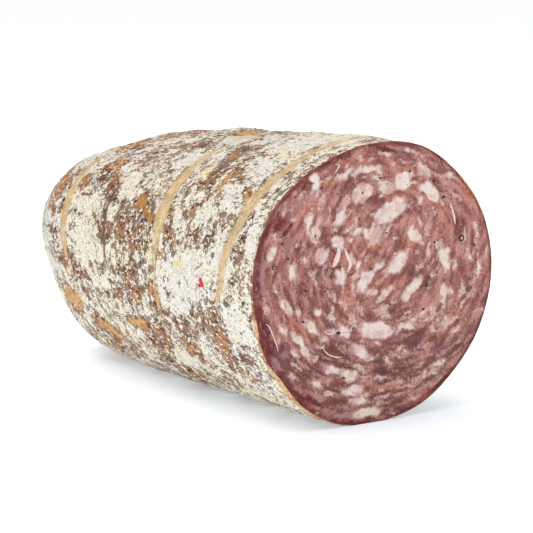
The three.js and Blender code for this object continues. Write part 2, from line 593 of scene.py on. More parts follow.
@dataclass(frozen=True)
class Reading:
    """A shader value that Python arithmetic can use. Each operation adds one Math node."""

    bench: "Bench"
    socket: bpy.types.NodeSocket

    def _math(self, operation: str, *values: "Reading | float") -> "Reading":
        """Add a Math node on the given values."""
        node = self.bench.node("ShaderNodeMath", {"operation": operation}, dict(enumerate(values)))
        return Reading(self.bench, node.outputs[0])

    def __add__(self, other: "Reading | float") -> "Reading":
        """self + other."""
        return self._math("ADD", self, other)

    def __radd__(self, other: float) -> "Reading":
        """other + self."""
        return self._math("ADD", other, self)

    def __sub__(self, other: "Reading | float") -> "Reading":
        """self - other."""
        return self._math("SUBTRACT", self, other)

    def __rsub__(self, other: float) -> "Reading":
        """other - self."""
        return self._math("SUBTRACT", other, self)

    def __mul__(self, other: "Reading | float") -> "Reading":
        """self * other."""
        return self._math("MULTIPLY", self, other)

    def __rmul__(self, other: float) -> "Reading":
        """other * self."""
        return self._math("MULTIPLY", other, self)

    def step(self, low: float, high: float) -> "Reading":
        """A smooth step from 0 at low to 1 at high."""
        node = self.bench.node(
            "ShaderNodeMapRange",
            {"interpolation_type": "SMOOTHSTEP"},
            {"Value": self, "From Min": low, "From Max": high},
        )
        return Reading(self.bench, node.outputs[0])

    def below(self, high: float, soft: float) -> "Reading":
        """1 well below a level and 0 above it, with an edge as soft as given."""
        return 1.0 - self.step(high - soft, high)


Feed = Reading | bpy.types.NodeSocket | float | tuple


class Bench:
    """A material, or the room, and the few ways in which this file adds nodes to it."""

    def __init__(self, name: str, for_room: bool = False) -> None:
        """Start a material, or the room round the table, with an empty node tree."""
        self.block = (bpy.data.worlds if for_room else bpy.data.materials).new(name)
        self.block.use_nodes = True
        self.tree = self.block.node_tree
        self.tree.nodes.clear()

    def node(self, kind: str, settings: dict[str, Any] | None = None,
             feeds: dict[str | int, Feed] | None = None) -> bpy.types.Node:
        """Add a node, set it up, then feed its sockets.

        Args:
            kind: The node's type.
            settings: Its own settings, which are set first.
            feeds: For each input, by name or place, a value or what is linked to it.

        Returns:
            The node.
        """
        made = self.tree.nodes.new(kind)
        for name, value in (settings or {}).items():
            setattr(made, name, value)
        for name, value in (feeds or {}).items():
            self.feed(made.inputs[name], value)
        return made

    def feed(self, socket: bpy.types.NodeSocket, value: Feed) -> None:
        """Link a reading or a socket to an input, or set the input's value."""
        if isinstance(value, Reading):
            value = value.socket
        if isinstance(value, bpy.types.NodeSocket):
            self.tree.links.new(value, socket)
        elif isinstance(value, tuple) and socket.type == "RGBA":
            socket.default_value = (*value, 1.0)
        else:
            socket.default_value = value

    def place(self, stretch: Triple = (1.0, 1.0, 1.0)) -> bpy.types.NodeSocket:
        """Object coordinates in mm, stretched along each axis."""
        where = self.node("ShaderNodeTexCoord").outputs["Object"]
        scale = tuple(s / MM for s in stretch)
        return self.node("ShaderNodeMapping", None, {"Vector": where, "Scale": scale}).outputs[0]

    def warped(self, where: bpy.types.NodeSocket, size: float, reach: float) -> bpy.types.NodeSocket:
        """Coordinates bent by noise of a size, by up to about half the reach, both in mm."""
        bend = self.node("ShaderNodeTexNoise", {"normalize": True}, {"Vector": where, "Scale": 1 / size})
        feeds = {0: bend.outputs["Color"], 1: (reach,) * 3, 2: where}
        return self.node("ShaderNodeVectorMath", {"operation": "MULTIPLY_ADD"}, feeds).outputs[0]

    def grain(self, where: bpy.types.NodeSocket, size: float, detail: float = 3.0,
              rough: float = 0.55, warp: float = 0.0) -> Reading:
        """Noise around 0, mostly within -0.25 to 0.25.

        Args:
            where: Coordinates in mm.
            size: The spacing of its largest features in mm.
            detail: How many finer layers it has.
            rough: How strong the finer layers are.
            warp: How far it is warped.

        Returns:
            The noise.
        """
        feeds = {"Vector": where, "Scale": 1 / size, "Detail": detail}
        feeds |= {"Roughness": rough, "Distortion": warp}
        return Reading(self, self.node("ShaderNodeTexNoise", {"normalize": True}, feeds).outputs[0]) - 0.5

    def cells(self, where: bpy.types.NodeSocket, size: float) -> tuple[Reading, Reading]:
        """Scattered cells: the distance to each middle as a share of their size, and a draw for each."""
        made = self.node("ShaderNodeTexVoronoi", {"feature": "F1"}, {"Vector": where, "Scale": 1 / size})
        drawn = self.node("ShaderNodeSeparateColor", None, {0: made.outputs["Color"]})
        return Reading(self, made.outputs["Distance"]), Reading(self, drawn.outputs[0])

    def field(self, name: str) -> Reading:
        """A number that the mesh carries."""
        return Reading(self, self.node("ShaderNodeAttribute", {"attribute_name": name}).outputs["Fac"])

    def tone(self, name: str) -> bpy.types.NodeSocket:
        """A colour that the mesh carries."""
        return self.node("ShaderNodeAttribute", {"attribute_name": name}).outputs["Color"]

    def mix(self, share: Reading | float, first: Feed, second: Feed) -> bpy.types.NodeSocket:
        """A colour between two, at a share of the second. The node's colours are inputs 6 and 7."""
        feeds = {0: share, 6: first, 7: second}
        return self.node("ShaderNodeMix", {"data_type": "RGBA"}, feeds).outputs[2]

    def bump(self, height: Reading, depth: float) -> bpy.types.NodeSocket:
        """A normal from a height of about 0 to 1, for a depth in mm."""
        return self.node("ShaderNodeBump", None, {"Height": height, "Distance": depth * MM}).outputs[0]

    def finish(self, **feeds: Feed) -> bpy.types.Material:
        """Feed the surface shader, whose sockets' names are given with underscores for spaces."""
        named = {name.replace("_", " "): value for name, value in feeds.items()}
        shader = self.node("ShaderNodeBsdfPrincipled", None, named)
        self.node("ShaderNodeOutputMaterial", None, {"Surface": shader.outputs[0]})
        return self.block


class Patch(Enum):
    """A kind of patch on the rind: how much it adds to the mould's cover, and its colour.

    The colour is the casing's where the cover is less, and the mould's where it is more.
    """

    GOLD = (-1.1, from_screen(214, 160, 92))
    AMBER = (-1.25, from_screen(184, 130, 54))
    ORANGE = (-0.9, from_screen(206, 144, 86))
    RUST = (-0.7, from_screen(160, 98, 56))
    PLUM = (-0.5, from_screen(132, 94, 88))
    UMBER = (-0.55, from_screen(112, 76, 54))
    OLIVE = (-0.7, from_screen(158, 128, 58))
    MOTTLED = (-0.3, from_screen(164, 116, 80))
    TAN = (-0.3, from_screen(206, 184, 154))
    CRACK = (-1.2, from_screen(104, 88, 78))
    WHITE = (0.36, from_screen(234, 229, 219))
    CREAM = (0.36, from_screen(234, 226, 206))
    GREY = (0.22, from_screen(218, 218, 214))
    YELLOW = (0.3, from_screen(236, 214, 150))


@dataclass(frozen=True)
class RindPatch(Spot):
    """A patch of the rind that shows in the picture."""

    kind: Patch = Patch.MOTTLED


def patches(kind: Patch, *rows: tuple[float, ...]) -> tuple[RindPatch, ...]:
    """Several patches of one kind, each as column, row, length, width and lean."""
    return tuple(RindPatch(*row, kind=kind) for row in rows)


SHOWN_PATCHES = (
    *patches(
        Patch.WHITE,
        (186, 275, 50, 50), (170, 215, 12, 34, 62), (237, 328, 22, 44, 22), (254, 250, 12, 70, 12),
        (262, 168, 30, 16, 40), (300, 145, 50, 12, 12), (348, 139, 50, 7, 5), (228, 200, 26, 20, 50),
        (190, 160, 22, 10, 30), (130, 184, 14, 10, 40), (180, 305, 24, 12, -30), (222, 262, 12, 40, 5),
    ),
    *patches(
        Patch.CREAM,
        (84, 208, 26, 26, 60), (82, 236, 24, 30, -70), (100, 250, 12, 40, -80), (134, 176, 16, 12, 40),
        (207, 214, 18, 12, 30), (196, 262, 22, 10, 10), (104, 280, 12, 30, -70), (184, 357, 34, 10, -30),
        (128, 188, 20, 13, 50), (112, 214, 10, 16, 0),
    ),
    *patches(Patch.YELLOW, (85, 260, 10, 6, -70), (94, 208, 7, 5), (178, 262, 8, 6), (208, 172, 9, 5, 40)),
    *patches(
        Patch.GREY,
        (47, 228, 50, 10, 88), (54, 262, 26, 12, -70), (92, 158, 26, 8, 28), (110, 149, 26, 5, 20),
        (60, 226, 20, 8, -60), (268, 140, 22, 8, 5), (232, 142, 30, 8, 15), (86, 176, 20, 10, 40),
    ),
    *patches(
        Patch.GOLD,
        (69, 294, 26, 8, -64), (78, 302, 20, 6, -60), (100, 322, 20, 7, -45), (114, 331, 24, 7, -40),
        (139, 323, 26, 10, -20), (157, 300, 26, 5, -70), (228, 178, 34, 4.5, 46), (246, 133, 34, 3, 5),
    ),
    *patches(
        Patch.AMBER,
        (142.5, 201, 17, 12, 62), (148.5, 216, 20, 9, -65), (170.5, 215.5, 14, 6, 70), (234, 155, 28, 7, 40),
        (85, 181, 14, 6, 55),
    ),
    *patches(
        Patch.ORANGE,
        (61, 186, 38, 7, 60), (115, 165, 28, 9, 30), (135, 144, 34, 6, 17), (182, 134, 44, 5, 12),
        (247, 194, 14, 6, 65), (189, 211, 14, 5, 48), (152, 288, 16, 9, -70), (160, 256, 12, 6, -60),
        (194, 351, 16, 9, -40), (221, 338, 44, 10, -68), (214, 180, 22, 5, 46), (134, 295, 22, 10, -72),
        (163, 338, 36, 6, -58), (115, 181, 18, 8, 60), (170, 237, 12, 6, -60),
    ),
    *patches(
        Patch.RUST,
        (52, 210, 14, 5, 80), (78, 269, 28, 7, -62), (112, 190, 20, 12, 60), (127, 284, 18, 8, -60),
        (119, 292, 10, 6, -50), (60, 258, 14, 9, -50), (205, 198, 14, 5, 40), (109, 281, 8, 5, -30),
        (213, 316, 16, 7, -80), (96, 320, 12, 6, -60), (118, 343, 20, 5, -35), (142, 146, 12, 5, 10),
        (118, 215, 9, 7, 0), (170, 234, 12, 7, -60),
    ),
    *patches(
        Patch.PLUM,
        (154, 205, 26, 8, -75), (246, 228, 38, 9, 62), (150, 338, 18, 6, -20), (164, 326, 14, 8, -40),
        (222, 166, 26, 9, 46), (202, 144, 34, 8, 15), (242, 150, 18, 8, 40), (152, 320, 9, 7, 0),
        (216, 172, 24, 6, 40), (108, 225, 12, 12, 0), (75.7, 212, 13, 6, -10), (167, 227, 8, 7, 0),
        (216, 325, 12, 7, -70), (141, 219, 12, 6, 60),
    ),
    *patches(
        Patch.UMBER,
        (120, 204, 14, 12, 0), (130, 222, 30, 20, 0), (132, 236, 26, 16, 0), (139, 265, 11, 7, 50),
        (106, 236, 12, 9, 0), (118, 270, 16, 12, 0), (140, 244, 14, 10, 0), (128, 274, 14, 10, -60),
        (200, 238, 34, 16, 20), (62, 206, 14, 7, 70), (104, 176, 18, 9, 60), (130, 215, 10, 7, 0),
        (232, 283, 6, 8, 0), (246, 362, 16, 12, -30), (244, 346, 6, 6, 0), (118, 346, 12, 6, -40),
        (176, 320, 34, 9, -35), (256, 148, 14, 6, 20), (227, 302, 6, 7, 0), (113, 198, 8, 12, 0),
    ),
    *patches(
        Patch.OLIVE,
        (168, 358, 18, 8, -28), (158, 342, 22, 8, -38), (141, 289, 12, 6, 75), (215, 300.5, 9, 5, 45),
        (186, 341, 10, 6, -40),
    ),
    *patches(
        Patch.MOTTLED,
        (128, 238, 34, 28, 0), (124, 272, 26, 18, 0), (172, 242, 14, 26, 0), (206, 320, 40, 28, -40),
        (236, 362, 30, 18, -35), (150, 160, 34, 14, 25), (206, 186, 22, 14, 40), (160, 340, 30, 18, -30),
        (58, 250, 20, 12, -70), (100, 338, 40, 10, -40), (226, 218, 18, 14, 50), (130, 350, 44, 8, -22),
        (200, 376, 80, 10, -15), (240, 172, 26, 12, 46), (84, 286, 18, 14, -60), (186, 335, 30, 12, -35),
    ),
    *patches(Patch.TAN, (169, 168, 24, 5, -82)),
    *patches(
        Patch.CRACK,
        (84, 193, 18, 1.6, 3), (71, 238, 16, 1.8, -48), (52, 228, 15, 3, -24), (98, 224, 30, 1.8, -72),
        (88, 277, 20, 1.6, -66), (106, 204, 26, 2.6, 84), (104, 240, 40, 2.2, -88), (78, 181, 12, 2.4, 50),
        (244, 303, 12, 1.4, 88),
    ),
)


@dataclass(frozen=True)
class CutRim:
    """How wide the casing's cut edge shows round the cut, in mm, and how golden it is there."""

    form: SalamiForm
    thin: float = 0.42
    least: float = 0.25
    ripples: tuple = ((5, 0.12, 1.0), (13, 0.1, 2.0), (29, 0.06, 0.0))
    thick: tuple = (
        Spot(280, 386, 1.3, 9.0), Spot(300, 404, 0.4, 9.0),
        Spot(255, 330, 0.5, 4.0), Spot(468, 184, 0.5, 8.0),
    )
    golden_spread: float = 1.7

    def width(self, angle: np.ndarray) -> np.ndarray:
        """The edge's width.

        Args:
            angle: Radians round the cut.

        Returns:
            Mm at each angle. A thick place's length is what it adds, and its width how many degrees.
        """
        width = np.full_like(angle, self.thin)
        for count, size, start in self.ripples:
            width += size * np.sin(count * angle + start)
        for spot in self.thick:
            width += spot.long * self.nearness(angle, spot, spot.wide)
        return np.maximum(width, self.least)

    def nearness(self, angle: np.ndarray, spot: Spot, degrees: float) -> np.ndarray:
        """How near each angle is to a place of the picture: 1 there, and falling over so many degrees."""
        middle = self.form.at_cut(0.0, 0.0)
        _, y, z = VIEW.on_plane(spot.column, spot.row, self.form.cut_x) - middle
        apart = np.degrees(turned_past(angle, math.atan2(z, y)))
        return np.exp(-((apart / degrees) ** 2))

    def golden(self, angle: np.ndarray) -> np.ndarray:
        """How golden the edge is, from 0 to 1: most where it is thick."""
        spread = [self.nearness(angle, spot, self.golden_spread * spot.wide) for spot in self.thick]
        return np.minimum(np.sum(spread, axis=0), 1.0)


@dataclass(frozen=True)
class RindFinish:
    """Cream mould over golden brown casing, with the tan stains of the twine, painted shadow just outside
    the mould's edges and painted shade along the stains' edges.
    """

    dust: Colour = from_screen(192, 176, 154)
    chalk: Colour = from_screen(234, 233, 228)
    butter: Colour = from_screen(238, 216, 156)
    rust: Colour = from_screen(180, 120, 64)
    plum: Colour = from_screen(110, 74, 68)
    # The casing's own dark umber, also used as painted shadow just outside the mould's edges.
    umber_and_shadow: Colour = from_screen(90, 64, 50)
    ink: Colour = from_screen(42, 31, 28)
    film: Colour = from_screen(220, 194, 162)
    fleck: Colour = from_screen(240, 232, 218)
    stain: Colour = from_screen(210, 174, 124)
    stain_pale: Colour = from_screen(230, 212, 174)
    # Painted shade for the edges of the twine's stains.
    stain_edge_shade: Colour = from_screen(170, 134, 88)
    groove: Colour = from_screen(100, 82, 70)

    def make(self) -> bpy.types.Material:
        """Make the material.

        Returns:
            The rind's material.
        """
        b = Bench("rind")
        plain = b.place()
        lying = b.place((0.85, 1.05, 1.05))
        bent = b.warped(lying, 2.4, 2.2)
        flakes = b.grain(b.place((1.3, 0.75, 0.75)), 6.0, 3.0, 0.6, 0.4)
        grit = b.grain(bent, 2.2, 3.0, 0.75)
        speck = b.grain(plain, 0.8, 2.0, 0.7)
        blot = b.grain(lying, 4.5, 2.0, 0.6, 0.5)
        sore = b.grain(plain, 9.0, 2.0)
        _, drawn = b.cells(bent, 2.2)
        close, picked = b.cells(bent, 1.5)
        field = b.field("cover")
        clear = field.below(-0.7, 0.35)
        cover = field * 0.36 + field.step(0.0, 0.5) * 0.1 + flakes + grit * 0.8 + drawn * 0.16 + speck * 0.5
        film = (field * 0.5 + flakes * 0.9 + grit * 0.5 + 0.5).step(0.05, 0.9)
        thick = cover.step(0.0, 0.07)
        casing = b.mix(drawn.step(0.6, 0.64) * 0.6, b.tone("casing"), self.rust)
        casing = b.mix(picked.below(0.4, 0.05) * (0.75 - clear * 0.6), casing, self.plum)
        casing = b.mix((grit + flakes * 0.6).below(-0.02, 0.14) * 0.45, casing, self.umber_and_shadow)
        casing = b.mix(film * (0.45 - clear * 0.3) + speck.step(0.0, 0.2) * 0.2, casing, self.film)
        flecks = close.below(0.55, 0.14) * picked.step(0.7, 0.74) * (0.9 - clear * 0.7)
        casing = b.mix(flecks, casing, self.fleck)
        powder = b.mix(blot.below(0.0, 0.12) * 0.6, b.tone("mould"), self.chalk)
        powder = b.mix(drawn.step(0.66, 0.7) * (blot + sore).step(0.0, 0.2) * 0.6, powder, self.butter)
        powder = b.mix((speck + grit * 0.7).below(0.04, 0.15) * 0.8, powder, self.dust)
        # Painted shadow: umber in a thin band just outside the mould's edge, where its raised flakes would
        # shade the casing.
        colour = b.mix(cover.step(-0.08, 0.0) * (0.75 - film * 0.4), casing, self.umber_and_shadow)
        colour = b.mix(thick, colour, powder)
        pits = (0.26 - field * 0.22 + sore * 0.8 - picked).step(0.0, 0.04) * (1.0 - clear)
        pits = pits * (close + grit * 0.6).below(0.52, 0.2)
        colour = b.mix(pits * (0.95 - film * 0.55), colour, self.ink)
        fray = grit * 3.0 + flakes * 2.4 + speck * 1.5
        stain = (b.field("band") + fray).step(-0.6, 0.9)
        worn = (b.field("strength") + flakes * 1.2 + blot * 0.8 - grit * 0.8).step(0.2, 0.9)
        strands = b.grain(b.place((3.0, 0.4, 0.4)), 1.6, 3.0)
        tan = b.mix(strands.step(-0.02, 0.14), self.stain, self.stain_pale)
        # Painted shade: the stain darkens towards its edges, along the shoulders of the twine's mark.
        tan = b.mix((b.field("band") + strands * 6.0).below(1.3, 1.8) * 0.6, tan, self.stain_edge_shade)
        colour = b.mix(stain * worn * 0.94, colour, tan)
        groove = (b.field("groove") + fray * 0.7).step(-0.3, 0.9)
        colour = b.mix(groove * b.field("strength").step(0.0, 0.9) * 0.7, colour, self.groove)
        height = thick * 0.5 + grit * 1.2 + speck * 0.6 - pits * 0.5 - stain * worn * 0.3
        rough = 0.66 + thick * 0.26
        relief = b.bump(height, 0.35)
        return b.finish(Base_Color=colour, Roughness=rough, Normal=relief, Specular_IOR_Level=0.15)


@dataclass
class Rind:
    """The salami's skin: a closed shell of casing and mould, shut just behind the cut."""

    form: SalamiForm
    rim: CutRim
    around: int = 360
    along: int = 230
    tip_rows: int = 12
    cap_distance: float = 2.4
    lip_distance: float = 0.25
    casing_tones: tuple[Colour, Colour] = (from_screen(116, 88, 74), from_screen(184, 138, 100))
    mould_tones: tuple[Colour, Colour] = (from_screen(236, 229, 217), from_screen(240, 229, 204))
    soft_facing: float = 0.14
    wander_pixels: float = 2.0
    wander_mm: float = 8.0
    soft_edge: float = 0.7
    soft_narrow_edge: float = 0.6
    narrow_under: float = 4.0
    stain_reach: float = -2.5
    mould_high: float = 0.24
    wrinkle_high: float = 0.11
    band_deep: float = 0.12
    groove_deep: float = 0.3
    hidden_patches: int = 90
    hidden_odds: tuple[int, ...] = (8, 4, 10, 9, 8, 10, 5, 16, 0, 4, 12, 8, 6, 3)
    hidden_long: tuple[float, float] = (5.0, 15.0)
    hidden_slim: tuple[float, float] = (0.35, 0.9)
    hidden_lean: float = 0.6
    mould_longer: float = 1.6
    crack_wide: float = 0.7
    least_radius: float = 12.0
    seed: int = 11

    def rows(self) -> np.ndarray:
        """The rows from the shell's cap to its tip.

        Returns:
            For each row its distance in mm, its share of the cut edge's width, and its reach.
        """
        cap = [(self.cap_distance, 1.0, reach) for reach in (0.0, 0.5, 1.0)]
        lip = [(self.lip_distance, 1.0, 1.0), (self.lip_distance, 0.4, 1.0), (self.lip_distance, 0.0, 1.0)]
        dome = self.form.length * self.form.tip_from
        skin = [(distance, 0.0, 1.0) for distance in np.linspace(1.0, dome, self.along)]
        rounding = np.sin(np.linspace(0, math.pi / 2, self.tip_rows * 3 + 1))[1:-1]
        tip = [(dome + (self.form.length - dome) * share, 0.0, 1.0) for share in rounding]
        return np.array(cap + lip + skin + tip + [(self.form.length, 0.0, 0.0)])

    def hidden(self, distance: np.ndarray, angle: np.ndarray) -> list[tuple[Patch, np.ndarray]]:
        """The patches of the far side, which the picture doesn't show.

        Args:
            distance: Mm behind the cut.
            angle: Radians round.

        Returns:
            Each patch's kind and its weight over the skin.
        """
        draw = np.random.default_rng(self.seed)
        kinds = list(Patch)
        odds = np.array(self.hidden_odds, dtype=float)
        radius = np.maximum(self.form.plain_radius(distance), self.least_radius)
        found = []
        for _ in range(self.hidden_patches):
            kind = kinds[draw.choice(len(kinds), p=odds / odds.sum())]
            at_distance, at_angle = draw.uniform(0, self.form.length), draw.uniform(0, 2 * math.pi)
            long = draw.uniform(*self.hidden_long) * (self.mould_longer if kind.value[0] > 0 else 1.0)
            wide = self.crack_wide if kind is Patch.CRACK else long * draw.uniform(*self.hidden_slim)
            lean = draw.normal(0, self.hidden_lean)
            round_wise = turned_past(angle, at_angle) * radius
            back = distance - at_distance
            a = (round_wise * math.cos(lean) + back * math.sin(lean)) / long
            c = (back * math.cos(lean) - round_wise * math.sin(lean)) / wide
            found.append((kind, np.exp(-((a * a + c * c) ** 1.3))))
        return found

    def patch_fields(self, points: np.ndarray, distance: np.ndarray, angle: np.ndarray) -> Fields:
        """How thick the mould is, and the casing's and the mould's colours.

        Args:
            points: The skin's points.
            distance: Mm behind the cut.
            angle: Radians round.

        Returns:
            The fields cover, casing and mould.
        """
        column, row = VIEW.pixels(points)
        to_eye = VIEW.eye - points
        facing = (outward(points) * to_eye).sum(-1) / np.linalg.norm(to_eye, axis=-1)
        shown = smoothstep(0.0, self.soft_facing, facing)
        column = column + self.wander_pixels * lumpy(points, self.wander_mm * MM, 3, 2)
        row = row + self.wander_pixels * lumpy(points, self.wander_mm * MM, 4, 2)
        weights = [(kind, weight * (1 - shown)) for kind, weight in self.hidden(distance, angle)]
        for patch in SHOWN_PATCHES:
            inside = patch.inside(column, row, 2.0) * 2 / patch.wide
            soft = self.soft_edge if patch.wide > self.narrow_under else self.soft_narrow_edge
            weights.append((patch.kind, smoothstep(-soft, soft, inside) * shown))
        casing = blended(self.casing_tones, clouds(points, 26.0, 6))
        mould = blended(self.mould_tones, clouds(points, 20.0, 7))
        cover = np.zeros_like(distance)
        for kind, weight in weights:
            adds, colour = kind.value
            least, most = np.minimum(cover, adds), np.maximum(cover, adds)
            cover = np.clip(cover + adds * weight, least, most)
            tone = casing if adds < 0 else mould
            tone += (np.array(colour) - tone) * weight[..., None]
        return {"cover": cover, "casing": casing, "mould": mould}

    def mark_fields(self, points: np.ndarray, distance: np.ndarray, angle: np.ndarray) -> Fields:
        """Where the twine's stains and the one dark groove lie.

        Args:
            points: The skin's points.
            distance: Mm behind the cut.
            angle: Radians round.

        Returns:
            The fields band and groove, in mm inside the stain's edge, and the band's strength.
        """
        outside = -9.0
        fields = {stain.value: np.full_like(distance, outside) for stain in Stain}
        strength = np.zeros_like(distance)
        wander = 0.5 * lumpy(points, 16 * MM, 8, 2)
        swell = 1 + 0.3 * lumpy(points, 12 * MM, 9, 2)
        for mark in self.form.marks:
            centre, wide, strong = mark.along(angle)
            inside = np.maximum(wide, 0.0) * swell / 2 - np.abs(distance - centre - wander)
            name = mark.stain.value
            fields[name] = np.maximum(fields[name], inside)
            strength = np.where(inside > self.stain_reach, strong, strength)
        return fields | {"strength": strength}

    def relief(self, points: np.ndarray, fields: Fields) -> np.ndarray:
        """The mould's thickness and the casing's wrinkles.

        Args:
            points: The form's points.
            fields: The patch and mark fields there.

        Returns:
            Mm outwards.
        """
        coarse = lumpy(points, 9 * MM, 1, 2)
        fine = lumpy(points, 3.2 * MM, 2, 2)
        thick = smoothstep(-0.5, 0.6, fields["cover"] + 0.8 * coarse + 0.5 * fine)
        band = smoothstep(-0.5, 0.5, fields["band"] + 0.4 * fine)
        groove = smoothstep(-0.4, 0.7, fields["groove"] + 0.5 * fine)
        mould = self.mould_high * (thick - 0.5) * (1 - band)
        wrinkles = self.wrinkle_high * fine * (1 - 0.7 * band)
        return mould + wrinkles - self.band_deep * band - self.groove_deep * groove

    def build(self) -> bpy.types.Object:
        """Make the rind.

        Returns:
            The rind's object.
        """
        rows = self.rows()
        line = np.linspace(0, 2 * np.pi, self.around + 1)
        angle, distance = np.meshgrid(line, rows[:, 0], indexing="ij")
        inset = self.rim.width(line)[:, None] * rows[None, :, 1]
        points = self.form.points(distance, angle, inset, np.broadcast_to(rows[None, :, 2], angle.shape))
        fields = self.patch_fields(points, distance, angle) | self.mark_fields(points, distance, angle)
        skin = (rows[:, 1] == 0) * (rows[:, 2] == 1)
        fade = skin[None, :] * np.minimum(1, self.form.plain_radius(distance) / self.form.fold_fade)
        points = points + outward(points) * (self.relief(points, fields) * fade * MM)[..., None]
        points[..., 2] = np.maximum(points[..., 2], 0.0)
        points[-1] = points[0]
        bm = Blanket(self.around, len(rows) - 1).lay(points, fields)
        return new_piece(new_mesh("rind", bm, RindFinish().make()), "rind")


@dataclass(frozen=True)
class CasingFinish:
    """The casing's cut edge: dark and red brown where it is thin, and golden where it is thick."""

    thin: Colour = from_screen(138, 74, 48)
    gold: Colour = from_screen(200, 146, 86)
    pale: Colour = from_screen(222, 188, 142)
    dark: Colour = from_screen(88, 38, 28)

    def make(self) -> bpy.types.Material:
        """Make the material.

        Returns:
            The casing edge's material.
        """
        b = Bench("casing_edge")
        plain = b.place()
        patchy = b.grain(plain, 6.0, 3.0)
        fine = b.grain(plain, 1.2, 3.0)
        golden = b.field("golden")
        colour = b.mix((golden + patchy * 1.6).step(0.2, 0.7), self.thin, self.gold)
        colour = b.mix((golden + patchy + fine * 1.6 - 1.0).step(-0.1, 0.16), colour, self.pale)
        colour = b.mix((patchy + fine + golden * 0.14).below(0.03, 0.12) * 0.85, colour, self.dark)
        return b.finish(Base_Color=colour, Roughness=0.5, Normal=b.bump(fine, 0.2), Specular_IOR_Level=0.4)


@dataclass
class CasingEdge:
    """The thin ring of casing that the knife left round the cut, a little proud of it."""

    form: SalamiForm
    rim: CutRim
    around: int = 420
    section: tuple = (
        (1.4, 1.05), (0.1, 1.0), (-0.1, 0.8), (-0.16, 0.45), (-0.06, 0.1), (0.3, -0.06), (1.4, 0.06),
    )
    ragged: float = 0.1

    def build(self) -> bpy.types.Object:
        """Make the ring, whose section is given as mm behind the cut and shares of its width.

        Returns:
            The ring's object.
        """
        section = np.array(self.section + self.section[:1])
        line = np.linspace(0, 2 * np.pi, self.around + 1)
        angle, distance = np.meshgrid(line, section[:, 0], indexing="ij")
        inset = self.rim.width(line)[:, None] * section[None, :, 1]
        points = self.form.points(np.maximum(distance, 0.0), angle, inset)
        front = np.clip(1 - distance / 0.5, 0, 1)
        rough = self.ragged * lumpy(points, 2.2 * MM, 41, 2)
        points[..., 0] += (np.maximum(-distance, 0) + front * rough) * MM
        points[-1] = points[0]
        bm = Blanket(self.around, len(section) - 1).lay(points, {"golden": self.rim.golden(angle)})
        return new_piece(new_mesh("casing_edge", bm, CasingFinish().make()), "casing_edge")


class FatKind(Enum):
    """How a piece of fat shows: firm and white, pale and soft-edged, or clear and lilac."""

    WHITE = "white"
    PALE = "pale"
    CLEAR = "clear"


@dataclass(frozen=True)
class FatPiece(Spot):
    """A piece of fat that the eye picks out."""

    kind: FatKind = FatKind.PALE


def fat(kind: FatKind, *rows: tuple[float, ...]) -> tuple[FatPiece, ...]:
    """Several pieces of one kind, each as column, row, length, width and lean."""
    return tuple(FatPiece(*row, kind=kind) for row in rows)


